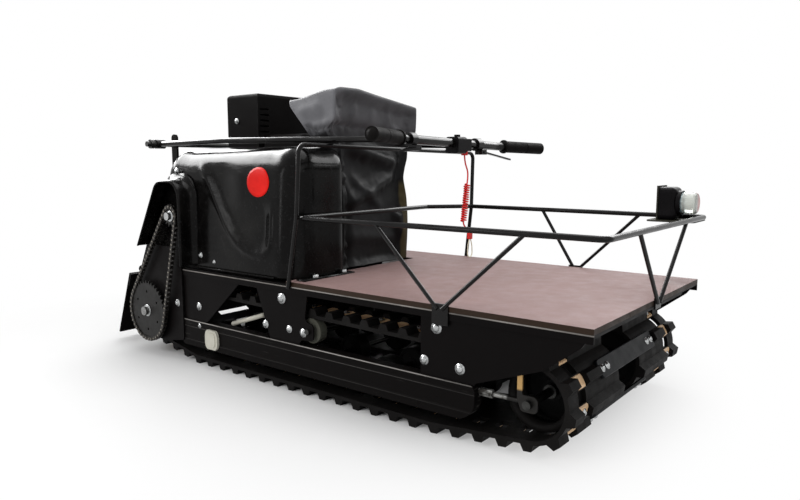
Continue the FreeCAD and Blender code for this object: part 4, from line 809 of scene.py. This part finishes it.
# columns on the right side, its corner, the front, the left corner and the left side
COVER_COLUMNS = (14, 6, 32, 6, 14)
COVER_LOW, COVER_RISE, COVER_CORNER, COVER_FILLET = 0.2605, 0.42, 0.007, 0.006
SPINE_X, SPINE_Z = (-0.126, -0.045), (0.668, 0.684)
# the box that the settled cloth stays in, and the hood's wall that it stays off
COVER_X, COVER_Y, COVER_Z = (-0.130, 0.034), (-0.166, 0.1695), (0.2595, 0.702)
HOOD_SIDE_Y, HOOD_SIDE_TOP = -0.1095, 0.556
SETTLE_FRAMES, MOST_SHIFT = 26, 0.016
ENGINE_MIDDLE = np.array([-0.055, 0.0])
CORE_SHARE, CORE_DROP = np.array([0.86, 0.93]), 0.010
LOOSE_BAND = (0.57, 0.606)
# ridges on the front: start and end (y, z), height, width
FRONT_FOLDS = (((-0.070, 0.560), (0.150, 0.512), 0.022, 0.017),
               ((-0.075, 0.418), (0.130, 0.500), 0.017, 0.017),
               ((-0.110, 0.530), (-0.066, 0.430), 0.012, 0.012),
               ((-0.060, 0.490), (0.060, 0.400), 0.007, 0.014),
               ((-0.090, 0.335), (0.120, 0.322), 0.006, 0.016),
               ((0.080, 0.605), (0.150, 0.550), 0.012, 0.012),
               ((-0.066, 0.695), (-0.070, 0.625), 0.006, 0.009),
               ((0.010, 0.690), (-0.005, 0.618), 0.006, 0.009),
               ((0.075, 0.680), (0.060, 0.612), 0.006, 0.009),
               ((0.130, 0.675), (0.125, 0.612), 0.004, 0.008))


def cover_wall():
    """The cover's walls as a grid, and the height of its crest over each column.

    Each row runs forward along the right side, round a corner, across the front, round the
    other corner and back along the left side. Where these stand depends on the height: by an
    S curve on the right, by straight stretches between set levels on the left and at the
    rear, and by a lip and a shallow sine wave at the front.
    """
    share = np.linspace(0, 1, COVER_ROWS)[:, None]
    height = COVER_LOW + share * COVER_RISE
    right = -0.108 - 0.044 * smoothstep(height, 0.556, 0.590)
    left = np.interp(height, [0.26, 0.44, 0.49, 0.52, 0.545, 0.585, 0.602, 0.608, 0.68],
                     [0.157, 0.152, 0.143, 0.152, 0.161, 0.160, 0.163, 0.1685, 0.1685])
    rear = np.interp(height, [0.26, 0.585, 0.672], [-0.062, -0.052, -0.126])
    lip = smoothstep(height, 0.602, 0.612)
    front = 0.006 + 0.018 * lip + 0.004 * np.sin(height * 21)
    radius = COVER_CORNER

    def run(start, end, count):
        return start + (end - start) * np.linspace(0, 1, count, endpoint=False)

    def turn(first, count):
        angle = first + np.linspace(0, math.pi / 2, count, endpoint=False)
        return radius * np.cos(angle), radius * np.sin(angle)

    on_right, corner_right, across, corner_left, on_left = COVER_COLUMNS
    cos_right, sin_right = turn(-math.pi / 2, corner_right)
    cos_left, sin_left = turn(0, corner_left)
    x = np.concatenate([run(rear, front - radius, on_right), front - radius + cos_right,
                        run(front, front, across), front - radius + cos_left,
                        run(front - radius, rear, on_left - 1), rear], axis=1)
    y = np.concatenate([run(right, right, on_right), right + radius + sin_right,
                        run(right + radius, left - radius, across),
                        left - radius + sin_left, run(left, left, on_left)], axis=1)
    crest = (np.interp(y, [-0.16, -0.14, -0.07, 0.0, 0.165],
                       [0.688, 0.697, 0.698, 0.689, 0.668])
             - 0.018 * smoothstep(-x, -0.01, 0.12))
    z = COVER_LOW + share * (crest - COVER_FILLET - COVER_LOW)
    return np.stack([x, y, z], axis=-1), crest[-1]


def cover_shape():
    """The cloth before it settles: its walls, a small fillet r(1 - cos a) in and r(1 - sin a)
    below the crest, and straight rows in to a spine."""
    wall, top = cover_wall()
    rim = wall[-1]
    spine = np.stack([np.clip(rim[:, 0], *SPINE_X), np.zeros(len(rim))], axis=1)
    inward = spine - rim[:, :2]
    inward /= np.linalg.norm(inward, axis=1)[:, None]
    rows = []
    for angle in np.linspace(0, math.pi / 2, COVER_FILLET_ROWS)[1:]:
        place = rim[:, :2] + inward * COVER_FILLET * (1 - math.cos(angle))
        rows.append(np.column_stack([place, top - COVER_FILLET * (1 - math.sin(angle))]))
    edge = rows[-1]
    middle = np.column_stack([spine, np.interp(spine[:, 0], SPINE_X, SPINE_Z)])
    for part in np.linspace(0, 1, COVER_TOP_ROWS)[1:]:
        rows.append(edge + (middle - edge) * part)
    return np.concatenate([wall, np.array(rows)])


def fold(y, z, start, end, height, width):
    """A soft ridge along the line from start to end: height times a bell curve of the
    distance across it, with smooth ends."""
    start, end = np.array(start), np.array(end)
    run = end - start
    length = np.linalg.norm(run)
    offset = np.stack([y, z], axis=-1) - start
    along = (offset @ run) / length ** 2
    across = (offset @ np.array([-run[1], run[0]])) / length
    return (height * np.exp(-(across / width) ** 2)
            * smoothstep(along, -0.15, 0.2) * (1 - smoothstep(along, 0.75, 1.15)))


def with_folds(grid):
    """The cover's shape with ridges on its front, a tuck behind the hood and two ripples on
    its right wing, each faded out towards the corners and the top."""
    rows, columns = grid.shape[:2]
    right, corner, front = COVER_COLUMNS[:3]
    x, y, z = (grid[..., k].copy() for k in range(3))
    on_wall = smoothstep(np.arange(rows)[::-1] - (rows - COVER_ROWS), 0, 5)[:, None]
    on_front, on_right = np.zeros(columns), np.zeros(columns)
    on_front[right + corner:right + corner + front] = eased(front, 6)
    on_right[:right] = eased(right, 5)
    for start, end, height, width in FRONT_FOLDS:
        x += fold(y, z, start, end, height, width) * on_front * on_wall
    tucked = 0.012 * (1 - smoothstep(y, -0.074, -0.060)) * (1 - smoothstep(z, 0.40, 0.44))
    x -= tucked * on_front * on_wall
    ripple = (fold(x, z, (-0.125, 0.640), (0.010, 0.668), 0.007, 0.012)
              - fold(x, z, (-0.100, 0.612), (0.012, 0.628), 0.006, 0.012))
    y -= ripple * on_right * on_wall
    return np.stack([x, y, z], axis=-1)


def core_below(grid):
    """What the cloth lies on: its shape without folds, drawn in towards the engine's middle
    and lowered at the top."""
    core = grid.reshape(-1, 3).copy()
    core[:, :2] = ENGINE_MIDDLE + (core[:, :2] - ENGINE_MIDDLE) * CORE_SHARE
    core[:, 2] -= CORE_DROP * smoothstep(core[:, 2], 0.5, 0.66)
    return core


def held_points(shape):
    """True where the cloth is held: its hem, its top, its rear edge on the right, its left
    side with the corner, and its right side with the corner apart from a band under the
    cap."""
    rows, columns = shape.shape[:2]
    right, corner, front = COVER_COLUMNS[:3]
    row, column = np.indices((rows, columns))
    level = shape[..., 2]
    left_side = column >= right + corner + front
    right_side = column < right + corner
    off_band = (level < LOOSE_BAND[0]) | (level > LOOSE_BAND[1])
    held = (row == 0) | (row > COVER_ROWS - 3) | (column == 0) | left_side
    return (held | right_side & off_band).ravel()


def settled(points, faces, held, core):
    """The cloth after a short simulation: it is a little longer than its shape, so that it
    buckles over the core, and the held points stay."""
    work_mesh = new_mesh("cloth_work", (points, faces))
    core_mesh = new_mesh("cloth_core", (core, faces))
    work, inner = linked("cloth_work", work_mesh), linked("cloth_core", core_mesh)
    pins = work.vertex_groups.new(name="held")
    pins.add([int(i) for i in np.nonzero(held)[0]], 1.0, "REPLACE")
    inner.modifiers.new("collide", "COLLISION")
    inner.collision.thickness_outer = 0.002
    cloth = work.modifiers.new("cloth", "CLOTH")
    cloth.settings.vertex_group_mass = "held"
    for name, value in (("quality", 6), ("mass", 0.5), ("tension_stiffness", 25),
                        ("compression_stiffness", 25), ("shear_stiffness", 8),
                        ("bending_stiffness", 12), ("air_damping", 2),
                        ("shrink_min", -0.03), ("shrink_max", -0.03)):
        setattr(cloth.settings, name, value)
    cloth.collision_settings.distance_min = 0.002
    cloth.point_cache.frame_start = 1
    cloth.point_cache.frame_end = SETTLE_FRAMES
    scene = bpy.context.scene
    for number in range(1, SETTLE_FRAMES + 1):
        scene.frame_set(number)
    after = work.evaluated_get(bpy.context.evaluated_depsgraph_get()).to_mesh()
    result = np.empty(len(after.vertices) * 3)
    after.vertices.foreach_get("co", result)
    scene.frame_set(1)
    for item in (work, inner):
        bpy.data.objects.remove(item)
    for mesh in (work_mesh, core_mesh):
        bpy.data.meshes.remove(mesh)
    return result.reshape(-1, 3)


def kept_clear(cloth):
    """The cloth inside the cover's box and, below the hood's top, off the hood's wall."""
    x, y, z = cloth.T
    y = np.where(z < HOOD_SIDE_TOP, np.maximum(y, HOOD_SIDE_Y), y)
    return np.stack([np.clip(x, *COVER_X), np.clip(y, *COVER_Y), np.clip(z, *COVER_Z)],
                    axis=1)


def engine_cover():
    """A coated cloth cover: a wrapped grid with set folds that then settles as cloth, each
    point moving at most 16 mm."""
    grid = cover_shape()
    folded = with_folds(grid)
    cloth = folded.reshape(-1, 3)
    faces = grid_faces(*grid.shape[:2])
    shift = settled(cloth, faces, held_points(folded), core_below(grid)) - cloth
    far = np.linalg.norm(shift, axis=1)
    share = np.minimum(far, MOST_SHIFT) / np.maximum(far, 1e-9)
    cloth = cloth + shift * share[:, None]
    piece = add_piece("engine_cloth", (kept_clear(cloth), faces[:, ::-1]), VINYL,
                      weld=True)
    thick = piece.modifiers.new("thickness", "SOLIDIFY")
    thick.thickness = 0.0014
    thick.offset = -1
    smoother = piece.modifiers.new("smooth", "SUBSURF")
    smoother.levels = smoother.render_levels = 1
    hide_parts("engine_cover")


# ---------------------------------------------------------------- fastenings

# profiles for a head of size 1, whose ends stop at a tip next to the axis; welding closes them
TIP = 0.0001
DOME = turned([(TIP, 0.62), (0.30, 0.58), (0.52, 0.44), (0.64, 0.22), (0.66, 0.12),
               (1.0, 0.12), (1.0, 0.0), (TIP, 0.0)], 12)
HEX = turned([(TIP, 0.62), (0.52, 0.62), (0.62, 0.5), (0.62, 0.12), (0.62, 0.0),
              (TIP, 0.0)], 6)
WASHER = turned([(TIP, 0.12), (0.9, 0.12), (1.0, 0.06), (1.0, 0.0), (TIP, 0.0)], 16)
BELT_Y, CROSS_PLATE_BOLTS_Y = (-0.231, 0.231), (-0.133, -0.110, 0.110, 0.133)
BELT_PITCHES, ARC_POINTS = 54, 80
# distances out from the wheels: the belt's middle line, then what is fixed to the belt
BELT_MIDDLE, CLIP_LIFT, STUD_LIFT, BOLT_LIFT = 0.004, 0.008, 0.0115, 0.0138
# (x, z, radius) of the wheels that the belt runs round
RAMP_ROLLER, FRONT_ROLLER = (-0.348, 0.059, 0.038), (0.400, 0.059, 0.038)
IDLER, DRIVE_WHEEL = (0.610, 0.105, 0.066), (-0.522, 0.123, 0.068)
BELT_WHEELS = [RAMP_ROLLER, FRONT_ROLLER, IDLER, DRIVE_WHEEL]
# bolts on both sides of the frame: x, distance from the middle, z, size
FRAME_BOLTS = ((-0.401, 0.3042, 0.157, 0.010), (-0.318, 0.297, 0.157, 0.010),
               (-0.063, 0.297, 0.149, 0.010), (0.017, 0.297, 0.149, 0.009),
               (0.062, 0.297, 0.147, 0.010), (-0.006, 0.297, 0.217, 0.013),
               (0.421, 0.297, 0.214, 0.012), (0.393, 0.297, 0.147, 0.010),
               (0.474, 0.297, 0.144, 0.011), (-0.315, 0.300, 0.107, 0.006))
FEET_X, FEET_Y, FOOT_TOP = -0.533, (-0.205, 0.205), 0.255
FOOT_BOLTS_X, FOOT_BOLTS_Y = (-0.019, 0.019), (-0.013, 0.013)
DRIVE_SHAFT_END, JACKSHAFT_END = (-0.522, -0.3194, 0.123), (-0.398, -0.3194, 0.3853)


def scaled(shape, size):
    """The shape of size 1 at another size."""
    return shape[0] * size, shape[1]


def belt_path():
    """Angle and wheel (x, z, radius) along the belt: it leaves each wheel on the common
    tangent and turns about the next one."""
    following = BELT_WHEELS[1:] + BELT_WHEELS[:1]
    leave = [math.atan2(z2 - z1, x2 - x1)
             - math.acos((r1 - r2) / math.hypot(x2 - x1, z2 - z1))
             for (x1, z1, r1), (x2, z2, r2) in zip(BELT_WHEELS, following)]
    angles, wheels = [np.array(leave[:1])], [np.array(BELT_WHEELS[:1])]
    for wheel, first, last in zip(following, leave, leave[1:] + leave[:1]):
        turn = (last - first) % (2 * math.pi)
        angles.append(angles[-1][-1] + np.linspace(0, turn, ARC_POINTS))
        wheels.append(np.tile(wheel, (ARC_POINTS, 1)))
    return np.concatenate(angles), np.concatenate(wheels)


def on_belt(numbers, offset):
    """Place and outward direction, in the XZ plane, at belt pitches and an offset from
    the wheels; runs and arcs are walked along the belt's middle line."""
    angles, wheels = belt_path()
    way = np.stack([np.cos(angles), np.sin(angles)], axis=1)
    at = arc_lengths(wheels[:, :2] + way * (wheels[:, 2:] + BELT_MIDDLE))
    where = (np.asarray(numbers, float) / BELT_PITCHES * at[-1]) % at[-1]
    place = read_at(wheels[:, :2] + way * (wheels[:, 2:] + offset), at, where)
    angle = np.interp(where, at, angles)
    return place, np.stack([np.cos(angle), np.sin(angle)], axis=1)


def belt_items(shape, numbers, ys, offset):
    """The shape on the belt at each pitch number and each y."""
    place, out = on_belt(numbers, offset)
    parts = []
    for y in ys:
        places = np.insert(place, 1, y, axis=1)
        outward = np.insert(out, 1, 0, axis=1)
        along = np.stack([-out[:, 1], 0 * out[:, 0], out[:, 0]], axis=1)
        parts.append(stood(shape, places, outward, along))
    return joined(parts)


def belt_clip():
    """A shallow arched clip, whose six-sided ends are each split into two quads."""
    outline = [(-0.0125, -0.001), (-0.0115, 0.0022), (-0.007, 0.0036), (0.007, 0.0036),
               (0.0115, 0.0022), (0.0125, -0.001)]
    points, faces = prism(outline, -0.0165, 0.0165)
    quads = [face for face in faces if len(face) == 4]
    return points, quads + [(0, 5, 4, 1), (1, 4, 3, 2), (6, 7, 10, 11), (7, 8, 9, 10)]


def track_fastenings():
    """Clips round the bars between the windows, studs beside them, cross plate bolts."""
    every = np.arange(BELT_PITCHES)
    clips = belt_items(belt_clip(), every, BELT_Y, CLIP_LIFT)
    add_piece("belt_clips", clips, CLIP, smooth=False)
    studs = belt_items(scaled(DOME, 0.0085), every[1::2], BELT_Y, STUD_LIFT)
    bolts = belt_items(scaled(DOME, 0.008), every[::2], CROSS_PLATE_BOLTS_Y, BOLT_LIFT)
    add_piece("belt_bolts", joined([studs, bolts]), ZINC, weld=True)


def heads(shape, size, outward, *places):
    """Heads of one size that face outward."""
    return stood(scaled(shape, size), places, outward, FORWARD)


def fastenings():
    """Bolt heads on the frame, the hood and its front flange, the engine guard and the posts'
    feet, and washers on the two shafts' ends."""
    parts = [heads(DOME, size, (0, side, 0), (x, side * y, z))
             for side in (-1, 1) for x, y, z, size in FRAME_BOLTS]
    feet = [(FEET_X + dx, y + dy, FOOT_TOP) for y in FEET_Y
            for dy in FOOT_BOLTS_Y for dx in FOOT_BOLTS_X]
    parts += [heads(DOME, 0.0085, RIGHT, (-0.403, -0.290, 0.500), (-0.314, -0.290, 0.289)),
              heads(DOME, 0.006, RIGHT, (-0.259, -0.2905, 0.276)),
              heads(HEX, 0.0125, UP, (0.042, -0.237, FLANGE_TOP), (0.042, -0.143, FLANGE_TOP)),
              heads(DOME, 0.008, RIGHT, (-0.393, -0.1, 0.635)),
              heads(HEX, 0.006, UP, *feet),
              heads(WASHER, 0.0165, RIGHT, DRIVE_SHAFT_END),
              heads(WASHER, 0.0145, RIGHT, JACKSHAFT_END),
              heads(DOME, 0.007, RIGHT, (-0.392, -0.2925, 0.425), (-0.395, -0.2925, 0.345))]
    add_piece("bolt_heads", joined(parts), ZINC, weld=True)


def idler_tyres():
    """The rubber tyres that close the idler's windows from inside: a turned rim section,
    closed along its inner face."""
    profile = [(0.050, -0.015), (0.0635, -0.015), (0.0655, -0.011), (0.0655, 0.011),
               (0.0635, 0.015), (0.050, 0.015)]
    around = 48
    points, faces = turned(profile, around)
    rim = np.arange(around)
    last = rim + (len(profile) - 1) * around
    inside = np.stack([rim, last, np.roll(last, -1), np.roll(rim, -1)], axis=1)
    hubs = [(IDLER[0], y, IDLER[1]) for y in BELT_Y]
    tyres = stood((points, np.concatenate([faces, inside])), hubs, LEFT, FORWARD)
    add_piece("idler_tyres", tyres, RUBBER, weld=True)


def brace_rod():
    """A diagonal brace behind the right rear window."""
    start, end = np.array([-0.200, -0.284, 0.127]), np.array([-0.084, -0.284, 0.165])
    radius, length = 0.0055, np.linalg.norm(end - start)
    rod = turned([(TIP, 0), (radius, 0), (radius, length), (TIP, length)], 12)
    rod = stood(rod, start, (end - start) / length, LEFT)
    add_piece("brace_rod", rod, CLAMP, weld=True)


def beam_clamp():
    """A pale clamp bolted to the right beam: an oval with flattened sides and a smaller cap
    on it."""
    centre = np.array([-0.262, 0.079])
    angle = np.arange(20) * 2 * math.pi / 20
    reach = 0.027 * np.stack([np.cos(angle), 1.15 * np.sin(angle)], axis=1)
    outline = centre + np.clip(reach, -0.024, 0.025)
    clamp = prism(outline, -0.3065, -0.2998)
    cap = prism(outline * 0.72 + 0.28 * centre, -0.3085, -0.3064)
    add_piece("beam_clamp", joined([clamp, cap]), CLAMP, smooth=False)


def deck_board_rear():
    """The deck's film-faced board, which goes on beside the engine on the left."""
    board = box((-0.105, 0.176, 0.2502), (0.0118, 0.2985, 0.258))
    add_piece("deck_board_rear", board, PLYWOOD, smooth=False)


# ---------------------------------------------------------------- stage

FLOOR_REACH = 60.0
FADE_CENTRE, FADE_START, FADE_END = (-0.3, 0, 0), 0.60, 1.20
CAMERA_PLACE = (1.130, -1.312, 0.519)
CAMERA_DOWN, CAMERA_TURN = 7.3, 38.12
CAMERA_LENS, SENSOR_WIDTH = 30.38, 36


def seen_rays(tree):
    """1 for camera, glossy and transmission rays, else 0."""
    path = add_node(tree, "LightPath", {})
    total = path.outputs["Is Camera Ray"]
    for other in ("Is Glossy Ray", "Is Transmission Ray"):
        larger = add_node(tree, "Math", {0: total, 1: path.outputs[other]},
                          operation="MAXIMUM")
        total = larger.outputs["Value"]
    return total


def floor_finish():
    """A pale floor that goes over to the background's white away from the machine, for the
    rays that see the background."""
    pale = Finish("studio_floor", (0.76, 0.76, 0.76), 0.9, Specular_IOR_Level=0.1)
    centred = pale.add("VectorMath", {0: pale.coords, 1: FADE_CENTRE}, operation="SUBTRACT")
    distance = pale.add("VectorMath", {0: centred.outputs["Vector"]}, operation="LENGTH")
    far = pale.add("MapRange", {"Value": distance.outputs["Value"], "From Min": FADE_START,
                                "From Max": FADE_END}, interpolation_type="SMOOTHSTEP")
    share = pale.product(far.outputs["Result"], seen_rays(pale.tree))
    glow = pale.add("Emission", {"Strength": 1.0})
    blend = pale.add("MixShader", {"Fac": share, 1: pale.shader.outputs["BSDF"],
                                   2: glow.outputs["Emission"]})
    surface = pale.tree.nodes["Material Output"].inputs["Surface"]
    pale.tree.links.new(blend.outputs["Shader"], surface)
    return pale


def floor():
    """A flat square that reaches far past the machine."""
    corners = np.array([(-1, -1, 0), (1, -1, 0), (1, 1, 0), (-1, 1, 0)]) * FLOOR_REACH
    mesh = new_mesh("studio_floor", (corners, [(0, 1, 2, 3)]))
    mesh.materials.append(floor_finish().material)
    linked("studio_floor", mesh)


def white_world():
    """White for the rays that see it, and half as strong as a light."""
    world = bpy.data.worlds.new("studio")
    bpy.context.scene.world = world
    world.use_nodes = True
    tree = world.node_tree
    strength = add_node(tree, "MapRange", {"Value": seen_rays(tree), "To Min": 0.5,
                                           "To Max": 1.0})
    background = tree.nodes["Background"]
    background.inputs["Color"].default_value = (1, 1, 1, 1)
    tree.links.new(strength.outputs["Result"], background.inputs["Strength"])


def lamp(name, place, target, size, watts, diffuse=True, glossy=True):
    """A soft rectangle that faces its target; diffuse or glossy off leaves it out of that
    kind of light."""
    light = bpy.data.lights.new(name, "AREA")
    light.shape = "RECTANGLE"
    light.size, light.size_y = size
    light.energy = watts
    item = linked(name, light)
    item.visible_diffuse, item.visible_glossy = diffuse, glossy
    item.location = place
    aim = Vector(target) - Vector(place)
    item.rotation_euler = aim.to_track_quat("-Z", "Y").to_euler()


def lamps():
    """Soft lamps above and beside the machine, and cards that show only in gloss."""
    lamp("top_softbox", (0.1, 0.2, 2.9), (-0.1, 0, 0.2), (2.4, 1.8), 46)
    lamp("front_fill", (2.6, -1.4, 1.5), (0.1, 0, 0.25), (1.8, 1.4), 8)
    lamp("side_fill", (-0.5, -2.8, 1.6), (-0.1, -0.2, 0.35), (1.8, 1.2), 50, glossy=False)
    lamp("rear_rim", (-2.3, 1.6, 1.7), (0, 0, 0.3), (1.8, 1.2), 12)
    for name, place, target, size, watts in (
            ("shoulder_card", (-2.7, -0.15, 1.9), (-0.2, -0.25, 0.5), (2.6, 1.5), 250),
            ("far_card", (0.64, 1.84, 1.75), (-0.1, -0.2, 0.5), (2.0, 1.0), 50),
            ("pillar_card", (-1.05, -2.6, 0.9), (-0.1, -0.3, 0.4), (0.25, 1.6), 7)):
        lamp(name, place, target, size, watts, diffuse=False)


def camera():
    """The view from the machine's front right, a little from above."""
    data = bpy.data.cameras.new("camera")
    data.lens = CAMERA_LENS
    data.sensor_width = SENSOR_WIDTH
    item = linked("camera", data)
    item.location = CAMERA_PLACE
    item.rotation_euler = (math.radians(90 - CAMERA_DOWN), 0, math.radians(CAMERA_TURN))
    bpy.context.scene.camera = item


lanyard()
hood()
blank_badge()
engine_cover()
track_fastenings()
fastenings()
idler_tyres()
brace_rod()
beam_clamp()
deck_board_rear()
floor()
white_world()
lamps()
camera()
bpy.context.scene.view_settings.view_transform = "Standard"
